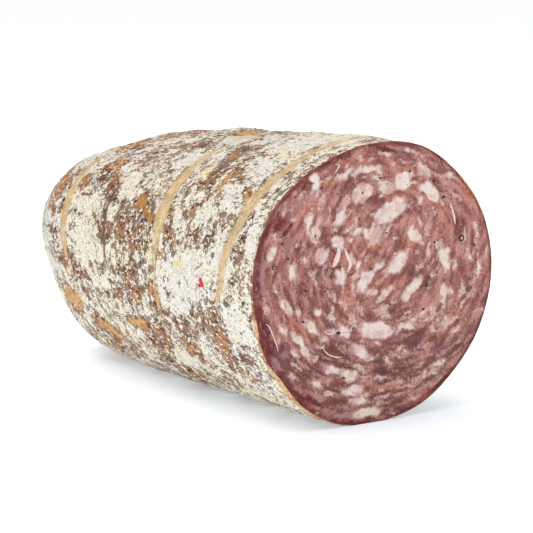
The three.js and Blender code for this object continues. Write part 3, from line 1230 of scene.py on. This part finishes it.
SHOWN_FAT = (
    *fat(
        FatKind.WHITE,
        (315, 181, 18, 10, -78), (345, 174, 21, 7, 38), (370, 168, 20, 6, 3), (369, 192, 10, 7, 55),
        (341, 218, 20, 8, 66), (318, 228, 23, 8, 65), (309, 223, 19, 6, 78), (339, 242, 14, 12, 70),
        (273, 255, 16, 6, 62), (291, 271, 19, 6, -75), (342, 278.5, 13, 8, 84), (365, 281, 25, 12, 68),
        (366, 233, 9, 6, -60), (403, 181, 18, 18, 0), (391, 211, 36, 17, 32), (430, 192, 22, 13, -48),
        (413, 235, 15, 12, -60), (397, 264, 28, 11, 50), (445, 259, 26, 8.5, -78), (479, 265, 13, 5, 85),
        (411, 289, 27, 9, 50), (318, 313, 9, 7, 70), (311, 328, 17, 8, -36), (344, 331, 18, 11, -40),
        (375, 331, 33, 17, -5), (361, 352, 19, 8, -34), (350, 376, 18, 9, -12), (353, 391, 19, 9, 10),
        (359, 401, 16, 8, 22), (366, 413, 27, 11, 18), (316, 385, 12, 7, -15), (444, 292, 16, 8, -86),
        (407, 327, 13, 6, 20), (302, 347, 30, 7, -57), (284, 308, 19, 6, -60), (451, 292, 6, 4, -80),
    ),
    *fat(
        FatKind.PALE,
        (357, 173, 14, 7, 40), (381, 170, 10, 6, -20), (323, 201, 18, 6, 64), (348, 203, 18, 8, 60),
        (363, 194, 22, 17, 55),
        (423, 172, 20, 10, -46), (387, 187, 20, 12, -20), (374, 236, 24, 12, 75), (352, 273, 8, 8, 0),
        (352, 319, 15, 5, -84), (363, 310, 12, 4, -65), (403, 161, 16, 4, -10), (454, 194, 19, 5, -45),
        (428, 243, 22, 3, 86), (423, 263, 12, 4, 68), (438, 244, 9, 6, 70), (466, 254, 12, 3, 82),
        (479, 233, 11, 4, 80), (414, 153, 20, 4, -28), (367, 146, 9, 5, 0), (266, 311, 13, 6, -78),
        (286, 329, 16, 4, -64), (299, 314, 14, 5, -78), (332, 372, 15, 5, -10), (328, 393, 11, 8, -10),
        (332, 319, 9, 7, -30), (318, 346, 8, 7, 0), (315, 359, 6, 6, 0), (291, 378, 9, 6, -60),
        (462, 289, 14, 8, 58), (465, 299, 12, 4, 58), (463, 303, 15, 3, 56), (400, 329, 18, 6, 20),
        (426, 311, 20, 6, 33), (416, 319, 18, 5, 30), (436, 314, 11, 4, 52), (444, 323, 16, 8, 60),
        (401, 356, 14, 3, -6), (388, 360, 10, 4, -40), (381, 377, 14, 4, 5), (397, 380, 10, 6, 0),
        (404, 386, 16, 4, 12), (394, 412, 14, 7, 10), (363, 398, 8, 5, 0), (368, 394, 6, 5, 0),
        (321, 256, 18, 13, 60), (330, 331, 14, 5, -8), (325, 270, 14, 4, 80), (432, 372, 14, 6, 20),
        (391, 304, 14, 5, 30), (385, 316, 10, 5, 0), (420, 375, 12, 4, 20), (406, 352, 8, 4, 30),
        (455, 345, 14, 3, 52), (452, 330, 12, 3, 60), (474, 282, 12, 3, 74), (380, 300, 10, 5, 40),
    ),
    *fat(
        FatKind.CLEAR,
        (280, 211, 37, 7, 52), (294, 216, 24, 6, 84), (262, 268, 34, 8, 82), (275, 363, 26, 9, -54),
        (286, 384, 20, 4, -50),
        (284, 354, 9, 8, 0), (326, 413, 17, 10, -10), (346, 417, 12, 9, 0), (438, 367, 14, 7, 15),
        (433, 383, 27, 5, 34), (417, 398, 11, 5, 40), (264, 296, 16, 6, -84), (300, 205, 14, 5, 60),
        (379, 183, 26, 8, -30), (289, 250, 20, 6, 76),
    ),
)


class MeatTone(Enum):
    """A stretch of meat with a colour of its own, or the painted shade of the torn hollow."""

    MAUVE = from_screen(112, 62, 62)
    GREY = from_screen(138, 94, 92)
    SALMON = from_screen(178, 111, 88)
    RUST = from_screen(172, 96, 62)
    BURGUNDY = from_screen(104, 30, 33)
    # Near-black painted shade in the torn hollow.
    SHADED_HOLLOW = from_screen(60, 20, 20)


@dataclass(frozen=True)
class MeatPatch(Spot):
    """A stretch of meat that the eye picks out."""

    tone: MeatTone = MeatTone.MAUVE


def meat(tone: MeatTone, *rows: tuple[float, ...]) -> tuple[MeatPatch, ...]:
    """Several stretches of one tone, each as column, row, length, width and lean."""
    return tuple(MeatPatch(*row, tone=tone) for row in rows)


SHOWN_MEAT = (
    *meat(
        MeatTone.SALMON,
        (308, 211, 22, 12, 20), (372, 250, 22, 18, 60), (409, 243, 22, 16, 0), (345, 305, 26, 14, 60),
        (334, 262, 14, 12, 0), (424, 393, 40, 9, 32), (398, 198, 20, 10, 10), (468, 198, 26, 8, -55),
        (420, 312, 40, 12, 30), (390, 385, 60, 12, 8), (330, 185, 16, 8, 40), (404, 168, 40, 8, -8),
        (402, 192, 18, 8, 0), (355, 365, 40, 6, -8), (300, 330, 30, 8, -60), (355, 160, 36, 8, 22),
        (428, 350, 30, 5, 40), (460, 240, 60, 6, 82), (452, 320, 50, 8, 60), (322, 300, 14, 8, 0),
        (385, 290, 14, 20, 50), (438, 205, 20, 8, -50),
    ),
    *meat(
        MeatTone.MAUVE,
        (346, 188, 30, 11, 32), (335, 346, 20, 15, 0), (297, 366, 38, 20, -20), (329, 298, 22, 20, 30),
        (411, 341, 34, 22, 20), (386, 152, 24, 8, -6), (340, 365, 30, 8, -10), (303, 245, 16, 24, 20),
        (416, 208, 26, 14, -40), (422, 280, 20, 26, 40), (340, 232, 14, 12, 0), (432, 162, 30, 7, -38),
        (380, 262, 14, 22, 30), (388, 372, 26, 12, 20), (352, 228, 14, 24, 60), (300, 290, 24, 14, -80),
        (408, 270, 12, 20, 50), (460, 225, 20, 12, 80), (378, 395, 30, 12, 10), (330, 325, 16, 8, -40),
        (280, 290, 14, 30, 0), (350, 345, 12, 10, 0), (398, 365, 22, 10, 20), (440, 278, 16, 18, 80),
    ),
    *meat(
        MeatTone.GREY,
        (441, 353, 21, 17, 30), (316, 275, 20, 20, 0), (386, 233, 20, 14, 20), (312, 192, 14, 8, 0),
    ),
    *meat(
        MeatTone.RUST,
        (367, 252, 8, 6, 40), (304, 209, 12, 7, 20), (470, 196, 14, 5, -60), (362, 376, 4, 4, 0),
    ),
    *meat(
        MeatTone.BURGUNDY,
        (257, 300, 110, 7, -86), (268, 228, 60, 4, 66), (265, 340, 50, 10, -68), (308, 400, 40, 9, -28),
        (286, 388, 34, 7, -42), (340, 423, 60, 5, -3), (388, 418, 50, 5, 14), (442, 381, 40, 5, 42),
        (388, 148, 20, 5, -6), (282, 225, 22, 8, 56), (305, 187, 40, 3, 42), (456, 172, 40, 4, -42),
        (288, 228, 20, 6, 50), (478, 330, 40, 3, 62), (340, 160, 40, 4, 26),
    ),
    # The torn hollow beside the flap, painted dark as shade.
    *meat(
        MeatTone.SHADED_HOLLOW,
        (332, 273, 13, 11, 0), (339, 267, 14, 2.6, 12), (334, 250, 4, 4, 60), (348, 272, 8, 2, 70),
        (323, 287, 2, 4, 0),
    ),
    *meat(MeatTone.RUST, (341, 259, 8, 14, 0), (331, 254, 4, 8, 0)),
)


@dataclass(frozen=True)
class MeatFinish:
    """Cut salami: dusky rose meat with fine grain, marbled with fat."""

    light: Colour = from_screen(200, 150, 138)
    deep: Colour = from_screen(84, 36, 37)
    warm: Colour = from_screen(182, 121, 105)
    white_fat: Colour = from_screen(230, 214, 205)
    pale_fat: Colour = from_screen(210, 171, 161)
    clear_fat: Colour = from_screen(166, 122, 123)
    pit: Colour = from_screen(62, 34, 32)

    def make(self) -> bpy.types.Material:
        """Make the material.

        Returns:
            The cut's material.
        """
        b = Bench("meat")
        plain = b.place()
        fine = b.grain(plain, 1.0, 3.0, 0.75)
        soft = b.grain(plain, 3.0, 3.0, 0.6)
        fibre = b.field("fibre")
        fresh = 1.0 - b.field("dry")
        streak = fibre * 0.22 + fine * 1.1
        colour = b.mix(streak.step(0.0, 0.22) * (0.24 + fresh * 0.42), b.tone("meat"), self.light)
        colour = b.mix(streak.below(-0.02, 0.2) * 0.6, colour, self.deep)
        fray = fine * 1.5 + soft * 1.9
        halo = (b.field("white") + fray).step(-1.3, 0.0)
        colour = b.mix(halo * 0.5, colour, self.warm)
        clear = (b.field("clear") + fray).step(-0.6, 0.9)
        colour = b.mix(clear * 0.7, colour, self.clear_fat)
        pale = (b.field("pale") + fray).step(-0.5, 0.9)
        soft_fat = b.mix((soft + fine * 0.7).step(-0.02, 0.18), self.pale_fat, self.white_fat)
        colour = b.mix(pale * 0.78, colour, soft_fat)
        white = (b.field("white") + fray * 0.5).step(-0.6, 0.8)
        cloud = b.grain(plain, 4.5, 3.0)
        fat_tone = b.mix((cloud + fine * 0.5).below(0.08, 0.26) * 0.85, self.white_fat, self.pale_fat)
        colour = b.mix(white * 0.92, colour, fat_tone)
        near, drawn = b.cells(plain, 2.6)
        pits = near.below(0.13, 0.06) * drawn.step(0.5, 0.56)
        colour = b.mix(pits * 0.8, colour, self.pit)
        height = white * 0.5 + fine * 1.6 + soft * 0.8 - pits * 0.6
        rough = 0.45 - white * 0.05 - fine * 0.6
        relief = b.bump(height, 0.16)
        return b.finish(Base_Color=colour, Roughness=rough, Normal=relief, Specular_IOR_Level=0.2)


@dataclass
class CutFace:
    """The cut: a thin disc of meat and fat inside the casing's edge."""

    form: SalamiForm
    rim: CutRim
    cells: int = 290
    thick: float = 2.0
    tuck: float = 0.2
    meat_tones: tuple[Colour, Colour] = (from_screen(143, 87, 82), from_screen(175, 113, 101))
    small_pieces: int = 330
    edge: float = 1.6
    lean_reach: float = 24.0
    smear: float = 5.0
    smear_steps: int = 7
    fibre_spacing: float = 4.0
    meat_wander: float = 1.6
    dry_wide: float = 5.5
    dry_side: float = 200.0
    dry_clears: float = 0.8
    hollow_clears: float = 3.0
    hollow_deep: float = 0.8
    # How much darker the meat is painted towards the bottom of the cut: partly its own tone, partly painted
    # shade.
    low_darkening: float = 0.4
    low_from: tuple[float, float] = (-64.0, -22.0)
    seed: int = 5

    def disc(self) -> tuple[np.ndarray, np.ndarray]:
        """A square grid drawn into a disc, whose rows bend to meet its edge.

        Returns:
            Each point's reach from the middle, and its angle.
        """
        line = np.linspace(-1, 1, self.cells + 1)
        a, c = np.meshgrid(line, line, indexing="ij")
        wide = np.abs(a) > np.abs(c)
        reach = np.where(wide, a, c)
        safe = np.where(reach == 0, 1.0, reach)
        turn = np.where(wide, c / safe, 2 - a / safe) * math.pi / 4
        return np.abs(reach), np.where(reach < 0, turn + math.pi, turn)

    def leaning(self, column: np.ndarray, row: np.ndarray) -> np.ndarray:
        """How the filling leans, from the large pieces of fat near by.

        Args:
            column: Columns in the picture.
            row: Rows.

        Returns:
            The lean in radians.
        """
        total = np.zeros(column.shape, dtype=complex)
        spread = 2 * self.lean_reach**2
        for piece in SHOWN_FAT:
            near = np.exp(-((column - piece.column) ** 2 + (row - piece.row) ** 2) / spread)
            total += near * (piece.long - piece.wide) * np.exp(2j * math.radians(piece.lean))
        return np.angle(total) / 2

    def fibres(self, column: np.ndarray, row: np.ndarray) -> np.ndarray:
        """Streaks that follow the lean of the filling, by smearing noise along it.

        Args:
            column: Columns in the picture.
            row: Rows.

        Returns:
            Values of about -1 to 1.
        """
        lean = self.leaning(column, row)
        run, rise = np.cos(lean), -np.sin(lean)
        total = np.zeros_like(column)
        for step in np.linspace(-self.smear, self.smear, self.smear_steps):
            at = np.stack([column + step * run, row + step * rise, np.zeros_like(row)], axis=-1)
            total += lumpy(at, self.fibre_spacing, 13)
        return np.clip(total / self.smear_steps * 3.0, -1.0, 1.0)

    def dried(self, points: np.ndarray, reach: np.ndarray, angle: np.ndarray) -> np.ndarray:
        """How dark the meat has dried towards the casing, most at the lower left.

        Args:
            points: The disc's points.
            reach: Their share of the way out from the middle.
            angle: Their angle.

        Returns:
            Shares of the dried tone.
        """
        deep = (1 - reach) * self.form.cut_radius
        wide = self.dry_wide * (0.62 + 0.38 * np.cos(angle - math.radians(self.dry_side)))
        return smoothstep(1.0, 0.0, deep / wide + 0.5 * lumpy(points, 5 * MM, 27, 2))

    def fields(self, points: np.ndarray, reach: np.ndarray, angle: np.ndarray) -> Fields:
        """The marbling and the meat's tones.

        Args:
            points: The disc's points.
            reach: Their share of the way out from the middle.
            angle: Their angle.

        Returns:
            The fields white, pale and clear, in mm inside each kind of fat, and fibre, meat and dry.
        """
        column, row = VIEW.pixels(points)
        bent = column + 3.2 * lumpy(points, 6 * MM, 21, 2) + 1.9 * lumpy(points, 2.4 * MM, 22, 2)
        bowed = row + 3.2 * lumpy(points, 6 * MM, 23, 2) + 1.9 * lumpy(points, 2.4 * MM, 24, 2)
        out = {kind.value: np.full_like(column, -self.edge) for kind in FatKind}
        for piece in SHOWN_FAT:
            inside = np.clip(piece.inside(bent, bowed) * VIEW.pixel_mm, -self.edge, self.edge)
            out[piece.kind.value] = np.maximum(out[piece.kind.value], inside)
        self.scatter_small(out, bent, bowed)
        tone = blended(self.meat_tones, clouds(points, 13.0, 25, 0.8, 3))
        # Darker towards the bottom of the cut: partly the meat's own tone, partly painted shade.
        tone = tone * (1 - self.low_darkening * smoothstep(*self.low_from, -points[..., 2] / MM))[..., None]
        dry = self.dried(points, reach, angle)
        wide_bent = column + self.meat_wander * (bent - column)
        wide_bowed = row + self.meat_wander * (bowed - row)
        for patch in SHOWN_MEAT:
            inside = patch.inside(wide_bent, wide_bowed, 2.0) * 2 / patch.wide
            weight = smoothstep(-0.5, 0.6, inside)
            tone = tone + (np.array(patch.tone.value) - tone) * weight[..., None] * 0.8
            if patch.tone is MeatTone.BURGUNDY:
                dry = np.maximum(dry, weight)
            # The torn hollow is painted dark as shade, and its fat is cleared.
            if patch.tone is MeatTone.SHADED_HOLLOW:
                for kind in FatKind:
                    out[kind.value] -= self.hollow_clears * weight
        tone = tone + (np.array(MeatTone.BURGUNDY.value) - tone) * dry[..., None] * 0.9
        for kind in FatKind:
            out[kind.value] -= self.dry_clears * dry
        return out | {"fibre": self.fibres(column, row), "meat": tone, "dry": dry}

    def scatter_small(self, out: Fields, column: np.ndarray, row: np.ndarray) -> None:
        """Add the small pieces of fat between the large ones, with the lean of the filling.

        Args:
            out: The fat fields, which are added to.
            column: Columns in the picture.
            row: Rows.
        """
        draw = np.random.default_rng(self.seed)
        for _ in range(self.small_pieces):
            away, turn = math.sqrt(draw.uniform()) * 0.97, draw.uniform(0, 2 * math.pi)
            at_column, at_row = VIEW.pixels(self.form.at_cut(turn, away))
            long = 2 * draw.lognormal(1.1, 0.42)
            wide = long * draw.uniform(0.25, 0.7) * (1.15 - 0.5 * away)
            lean_there = float(self.leaning(np.array(at_column), np.array(at_row)))
            lean = math.degrees(lean_there) + draw.normal(0, 22)
            kind = FatKind.WHITE if draw.uniform() < 0.25 else FatKind.PALE
            spot = Spot(float(at_column), float(at_row), long, wide, lean)
            near = (np.abs(column - at_column) < 2 * long) & (np.abs(row - at_row) < 2 * long)
            inside = np.maximum(spot.inside(column[near], row[near], 2.0) * VIEW.pixel_mm, -self.edge)
            out[kind.value][near] = np.maximum(out[kind.value][near], inside)

    def relief(self, points: np.ndarray, fields: Fields) -> np.ndarray:
        """The cut's fine relief: firm fat stands a little proud, and there is one torn hollow.

        Args:
            points: The disc's points.
            fields: The marbling there.

        Returns:
            Mm towards +X.
        """
        column, row = VIEW.pixels(points)
        firm = smoothstep(-0.3, 0.5, fields["white"])
        rough = lumpy(points, 2.0 * MM, 31, 2)
        hollows = [spot for spot in SHOWN_MEAT if spot.tone is MeatTone.SHADED_HOLLOW]
        torn = sum(smoothstep(-0.5, 2.0, spot.inside(column, row, 2.0)) for spot in hollows)
        return 0.1 * firm + 0.06 * rough * (1 - firm) - self.hollow_deep * torn - 0.05

    def build(self) -> bpy.types.Object:
        """Make the cut.

        Returns:
            The cut's object.
        """
        reach, angle = self.disc()
        inset = self.rim.width(angle) - self.tuck
        points = self.form.points(np.zeros_like(reach), angle, inset, reach)
        fields = self.fields(points, reach, angle)
        points[..., 0] += self.form.knife_wave(points[..., 2]) * (1 - reach**8)
        points[..., 0] += self.relief(points, fields) * MM
        bm = Blanket(self.cells, self.cells).lay(points, fields)
        self.close_behind(bm)
        return new_piece(new_mesh("cut_face", bm, MeatFinish().make()), "meat")

    def close_behind(self, bm: bmesh.types.BMesh) -> None:
        """Give the disc its thickness: a wall behind its edge, and a flat back."""
        edge = [e for e in bm.edges if e.is_boundary]
        wall = bmesh.ops.extrude_edge_only(bm, edges=edge)["geom"]
        for part in wall:
            if isinstance(part, bmesh.types.BMVert):
                part.co.x = self.form.cut_x - self.thick * MM
        bmesh.ops.contextual_create(bm, geom=[e for e in wall if isinstance(e, bmesh.types.BMEdge)])


def gathered(parts: Sequence[bmesh.types.BMesh]) -> bmesh.types.BMesh:
    """Put several bmeshes into one, and free them.

    Args:
        parts: The bmeshes, which all carry the same layers.

    Returns:
        The whole.
    """
    whole = bmesh.new()
    for part in parts:
        carrier = bpy.data.meshes.new("part")
        part.to_mesh(carrier)
        part.free()
        whole.from_mesh(carrier)
        bpy.data.meshes.remove(carrier)
    return whole


@dataclass(frozen=True)
class SeedFinish:
    """Fennel seed: olive green with paler ribs and browner ends."""

    olive: Colour = from_screen(142, 116, 58)
    pale: Colour = from_screen(194, 168, 108)
    brown: Colour = from_screen(88, 66, 40)

    def make(self) -> bpy.types.Material:
        """Make the material.

        Returns:
            The seeds' material.
        """
        b = Bench("fennel_seed")
        patchy = b.grain(b.place(), 1.6, 3.0)
        colour = b.mix(b.field("rib") * 0.7, self.olive, self.pale)
        colour = b.mix(patchy.below(0.0, 0.16) * 0.9, colour, self.brown)
        relief = b.bump(patchy, 0.1)
        return b.finish(Base_Color=colour, Roughness=0.6, Normal=relief, Specular_IOR_Level=0.35)


@dataclass
class FennelSeeds:
    """The fennel seeds that the knife met, each a ribbed ovoid half sunk in the cut."""

    form: SalamiForm
    shown: tuple = (
        Spot(373, 260, 6.5, 4.2, -30), Spot(294, 308, 6.5, 5, 60), Spot(391, 323, 6, 4, -20),
        Spot(316, 338, 6.5, 3.2, -50), Spot(404, 214, 5, 3, 20), Spot(368, 207, 4.4, 3, 60),
        Spot(331, 183, 7, 4, 60), Spot(439, 183, 4, 3, 0), Spot(317, 413, 5, 3, 10),
        Spot(336, 393, 5, 3, 0), Spot(319, 369, 3.2, 2.4, 0), Spot(448, 273, 8, 3, 80),
    )
    segments: int = 14
    rings: int = 8
    rib: float = 0.12
    sunk: float = 0.35

    def one(self, spot: Spot) -> bmesh.types.BMesh:
        """One seed, whose every second line of points stands out as a rib."""
        bm = bmesh.new()
        ribs = bm.verts.layers.float.new("rib")
        bmesh.ops.create_uvsphere(bm, u_segments=self.segments, v_segments=self.rings, radius=1.0)
        bmesh.ops.rotate(bm, verts=bm.verts, matrix=Matrix.Rotation(math.pi / 2, 3, "Y"))
        for vert in bm.verts:
            turn = math.atan2(vert.co.z, vert.co.y)
            vert[ribs] = 0.5 + 0.5 * math.cos(self.segments / 2 * turn)
            swell = 1 + self.rib * (vert[ribs] - 0.5)
            vert.co.y *= swell
            vert.co.z *= swell
        bmesh.ops.transform(bm, matrix=self.form.in_cut(spot, self.sunk), verts=bm.verts)
        return bm

    def build(self) -> bpy.types.Object:
        """Make the seeds.

        Returns:
            The seeds' object.
        """
        bm = gathered([self.one(spot) for spot in self.shown])
        return new_piece(new_mesh("fennel_seeds", bm, SeedFinish().make()), "fennel_seed")


@dataclass(frozen=True)
class PepperFinish:
    """Cracked black pepper, whose cut corns show a pale middle."""

    black: Colour = from_screen(44, 34, 31)
    brown: Colour = from_screen(96, 72, 58)
    core: Colour = from_screen(176, 154, 122)

    def make(self) -> bpy.types.Material:
        """Make the material.

        Returns:
            The pepper's material.
        """
        b = Bench("pepper")
        patchy = b.grain(b.place(), 0.9, 3.0)
        colour = b.mix(patchy.step(0.02, 0.18), self.black, self.brown)
        colour = b.mix(b.field("core"), colour, self.core)
        return b.finish(Base_Color=colour, Roughness=0.6, Specular_IOR_Level=0.35)


@dataclass
class Pepper:
    """Cracked pepper in the cut: the corns that the eye picks out, and fine dust all over."""

    form: SalamiForm
    cut_corns: tuple = (Spot(461, 238, 6.4, 6.8, 0), Spot(274, 268, 4.4, 4, 0))
    corns: tuple = (
        Spot(338, 333, 4, 3.4), Spot(444, 197, 3.4, 3), Spot(322, 188, 3, 2.8), Spot(296, 197, 3.2, 2, 40),
        Spot(434, 181, 3, 2.6), Spot(410, 171, 3, 2.2), Spot(434, 242, 3, 2.2), Spot(282, 244, 3, 2, 70),
        Spot(288, 259, 3, 2.2), Spot(315, 236, 2.6, 2), Spot(303, 322, 3, 2.4), Spot(306, 291, 2.6, 2.4),
        Spot(344, 378, 3, 2.2), Spot(423, 309, 3, 2.4), Spot(263, 329, 2.6, 2), Spot(353, 328, 3, 2, 30),
        Spot(427, 285, 4, 3, 50), Spot(474, 245, 3.4, 2.6, 80), Spot(363, 193, 2, 1.6),
        Spot(386, 233, 2.4, 2), Spot(371, 269, 2.4, 2), Spot(390, 304, 2.6, 2), Spot(380, 178, 2.4, 1.8),
    )
    dust_count: int = 80
    dust_long: tuple[float, float] = (0.8, 1.7)
    rough: float = 0.4
    sunk: float = 0.3
    seed: int = 23

    def one(self, spot: Spot, halved: bool, subdivisions: int) -> bmesh.types.BMesh:
        """Make one corn or crumb.

        Args:
            spot: The outline that it shows in the picture.
            halved: Whether the knife went through it, so that it has a flat pale middle.
            subdivisions: How finely its surface is divided.

        Returns:
            Its bmesh.
        """
        bm = bmesh.new()
        core = bm.verts.layers.float.new("core")
        bmesh.ops.create_icosphere(bm, subdivisions=subdivisions, radius=1.0)
        for vert in bm.verts:
            if halved:
                vert[core] = float(smoothstep(0.86, 0.95, np.array(vert.co.z)))
                vert.co.z = min(vert.co.z, 0.5)
            else:
                vert.co *= 1 + self.rough * noise.noise(vert.co * 2 + Vector((spot.column, spot.row, 0)))
        bmesh.ops.transform(bm, matrix=self.form.in_cut(spot, self.sunk), verts=bm.verts)
        return bm

    def dust(self) -> list[Spot]:
        """Where the fine crumbs lie, drawn evenly over the cut."""
        draw = np.random.default_rng(self.seed)
        found = []
        for _ in range(self.dust_count):
            reach, turn = 0.94 * math.sqrt(draw.uniform()), draw.uniform(0, 2 * math.pi)
            column, row = VIEW.pixels(self.form.at_cut(turn, reach))
            long = draw.uniform(*self.dust_long)
            wide, lean = long * draw.uniform(0.6, 1), draw.uniform(0, 180)
            found.append(Spot(float(column), float(row), long, wide, lean))
        return found

    def build(self) -> bpy.types.Object:
        """Make the pepper.

        Returns:
            The pepper's object.
        """
        parts = [self.one(spot, True, 4) for spot in self.cut_corns]
        parts += [self.one(spot, False, 2) for spot in self.corns]
        parts += [self.one(spot, False, 1) for spot in self.dust()]
        return new_piece(new_mesh("pepper", gathered(parts), PepperFinish().make()), "pepper")


@dataclass
class RedFlecks:
    """The few bright red flecks that stick to the rind and to the cut's lower edge."""

    form: SalamiForm
    on_rind: tuple = (
        Spot(201, 280, 6, 4.6, -70), Spot(202.5, 284.5, 5, 5.4, -40), Spot(199.5, 285.5, 4, 4.6, 60),
        Spot(262, 153, 3.4, 2.4, 20), Spot(271, 158, 3, 2.4, 0), Spot(149, 153, 3, 2.4, 70),
    )
    on_cut: tuple = (Spot(338, 420, 2.4, 2, 0),)
    red: Colour = from_screen(206, 34, 58)
    thick: float = 0.7

    def one(self, placing: Matrix) -> bmesh.types.BMesh:
        """One fleck, at its place."""
        bm = bmesh.new()
        bmesh.ops.create_icosphere(bm, subdivisions=2, radius=1.0)
        for vert in bm.verts:
            vert.co *= 1 + 0.25 * noise.noise(vert.co * 1.5 + placing.translation / MM)
        bmesh.ops.transform(bm, matrix=placing, verts=bm.verts)
        return bm

    def build(self) -> bpy.types.Object:
        """Make the flecks.

        Returns:
            The flecks' object.
        """
        placings = [self.form.on_skin(spot, self.thick) for spot in self.on_rind]
        placings += [self.form.in_cut(spot, 0.2) for spot in self.on_cut]
        finish = Bench("red_fleck").finish(Base_Color=self.red, Roughness=0.55)
        bm = gathered([self.one(at) for at in placings])
        return new_piece(new_mesh("red_flecks", bm, finish), "pepper")


@dataclass(frozen=True)
class Strand:
    """A loose strand of fat: the pixels that it passes through, and its width in pixels."""

    path: tuple[tuple[float, float], ...]
    wide: float


@dataclass
class FatStrands:
    """Thin shreds and curls of fat that the knife pulled up from the cut."""

    form: SalamiForm
    shown: tuple = (
        Strand(((322.9, 345.7), (325, 351.4), (330.7, 355.7), (337.9, 357.4), (342.9, 357.1)), 1.4),
        Strand(((324, 331), (328, 334), (336, 333)), 1.3),
        Strand(((334, 174), (337, 169), (338.5, 165), (335, 164)), 1.4),
        Strand(((265, 324), (269, 327), (273.6, 338.6), (277, 347), (278, 352)), 1.3),
        Strand(((450, 203), (453, 212), (455, 225)), 2.4),
        Strand(((338, 246), (338, 253), (335.5, 261), (333, 268)), 5.6),
        Strand(((344, 248), (347, 256), (350, 264), (347.5, 273)), 4.2),
        Strand(((342, 266), (342.5, 272), (342, 279), (340.5, 285)), 3.6),
        Strand(((404, 315), (407, 312), (411, 312)), 1.2),
    )
    around: int = 8
    along: int = 20
    flat: float = 0.5
    ragged: float = 0.5
    white: Colour = from_screen(228, 202, 192)

    def one(self, strand: Strand) -> bmesh.types.BMesh:
        """Make one strand.

        Args:
            strand: Its path and width.

        Returns:
            Its bmesh, drawn to a point at both ends.
        """
        last = len(strand.path) - 1
        at = np.linspace(0, last, self.along + 1)
        columns = through([(i, column) for i, (column, _) in enumerate(strand.path)], at)
        rows = through([(i, row) for i, (_, row) in enumerate(strand.path)], at)
        middle = np.array([self.form.on_cut(column, row) for column, row in zip(columns, rows)])
        ahead = np.gradient(middle, axis=0)
        out = np.array([1.0, 0.0, 0.0])
        side = np.cross(out, ahead / np.linalg.norm(ahead, axis=1, keepdims=True))
        taper = np.sqrt(np.clip(np.sin(np.pi * at / last), 0, 1))
        taper = taper * (1 + self.ragged * lumpy(middle, 1.2 * MM, 51))
        radius = (strand.wide / 2 * VIEW.pixel_mm * MM * taper)[None, :, None]
        turn = np.linspace(0, 2 * np.pi, self.around + 1)[:, None, None]
        points = middle + radius * (np.cos(turn) * side + self.flat * (np.sin(turn) + 0.4) * out)
        points[-1] = points[0]
        return Blanket(self.around, self.along).lay(points, {})

    def build(self) -> bpy.types.Object:
        """Make the strands.

        Returns:
            The strands' object.
        """
        finish = Bench("fat").finish(Base_Color=self.white, Roughness=0.32, Specular_IOR_Level=0.5)
        bm = gathered([self.one(strand) for strand in self.shown])
        return new_piece(new_mesh("fat_strands", bm, finish), "fat")


@dataclass
class Studio:
    """A white table in a white room, under broad soft light."""

    floor_side: float = 60.0
    white: Colour = (0.8, 0.85, 0.9)
    table_glow: float = 0.3
    wall: float = 1.0
    ceiling: float = 0.74
    ceiling_from: float = 0.5
    overhead: float = 1.15
    overhead_from: Triple = (-0.12, -0.12, 1.0)
    table_light: float = 1.5
    table_light_from: Triple = (-0.8, -0.6, 1.0)
    spread: float = math.radians(70)
    table_spread: float = math.radians(90)

    def table(self) -> bpy.types.Object:
        """Lay the table.

        Returns:
            The table's object.
        """
        bm = bmesh.new()
        bmesh.ops.create_grid(bm, x_segments=1, y_segments=1, size=self.floor_side / 2)
        finish = Bench("table").finish(
            Base_Color=self.white, Roughness=0.9,
            Emission_Color=self.white, Emission_Strength=self.table_glow,
        )
        table = bpy.data.objects.new("table", new_mesh("table", bm, finish))
        bpy.context.scene.collection.objects.link(table)
        return table

    def lamp(self, name: str, power: float, towards: Triple, spread: float) -> bpy.types.Object:
        """Hang a broad, far light.

        Args:
            name: Its name.
            power: Its strength.
            towards: The direction from the salami to the light.
            spread: How wide it looks, in radians.

        Returns:
            The light's object.
        """
        data = bpy.data.lights.new(name, "SUN")
        data.energy = power
        data.angle = spread
        lamp = bpy.data.objects.new(name, data)
        lamp.rotation_euler = Vector(towards).to_track_quat("Z", "Y").to_euler()
        bpy.context.scene.collection.objects.link(lamp)
        return lamp

    def room(self) -> None:
        """Make the room: white walls under a ceiling that is a little dimmer."""
        b = Bench("room", for_room=True)
        way = b.node("ShaderNodeTexCoord").outputs["Generated"]
        height = b.node("ShaderNodeSeparateXYZ", None, {0: way}).outputs["Z"]
        feeds = {"Value": height, "From Max": self.ceiling_from, "To Min": self.wall, "To Max": self.ceiling}
        strength = b.node("ShaderNodeMapRange", None, feeds).outputs[0]
        backdrop = b.node("ShaderNodeBackground", None, {"Color": (1.0, 1.0, 1.0), "Strength": strength})
        b.node("ShaderNodeOutputWorld", None, {"Surface": backdrop.outputs[0]})
        bpy.context.scene.world = b.block

    def build(self) -> None:
        """Set up the table, the lights, the room and how the picture is shown."""
        only_table = bpy.data.collections.new("only_table")
        only_table.objects.link(self.table())
        self.lamp("overhead", self.overhead, self.overhead_from, self.spread)
        table_lamp = self.lamp("table_light", self.table_light, self.table_light_from, self.table_spread)
        table_lamp.light_linking.receiver_collection = only_table
        self.room()
        bpy.context.scene.view_settings.view_transform = "Standard"


def main() -> None:
    """Build the salami and the studio, and say what was made."""
    logging.basicConfig(level=logging.INFO, format="%(message)s")
    VIEW.make_camera()
    form = SalamiForm()
    rim = CutRim(form)
    for part in (
        Rind(form, rim), CasingEdge(form, rim), CutFace(form, rim), FennelSeeds(form), Pepper(form),
        RedFlecks(form), FatStrands(form),
    ):
        part.build()
    Studio().build()


if __name__ == "__main__":
    main()
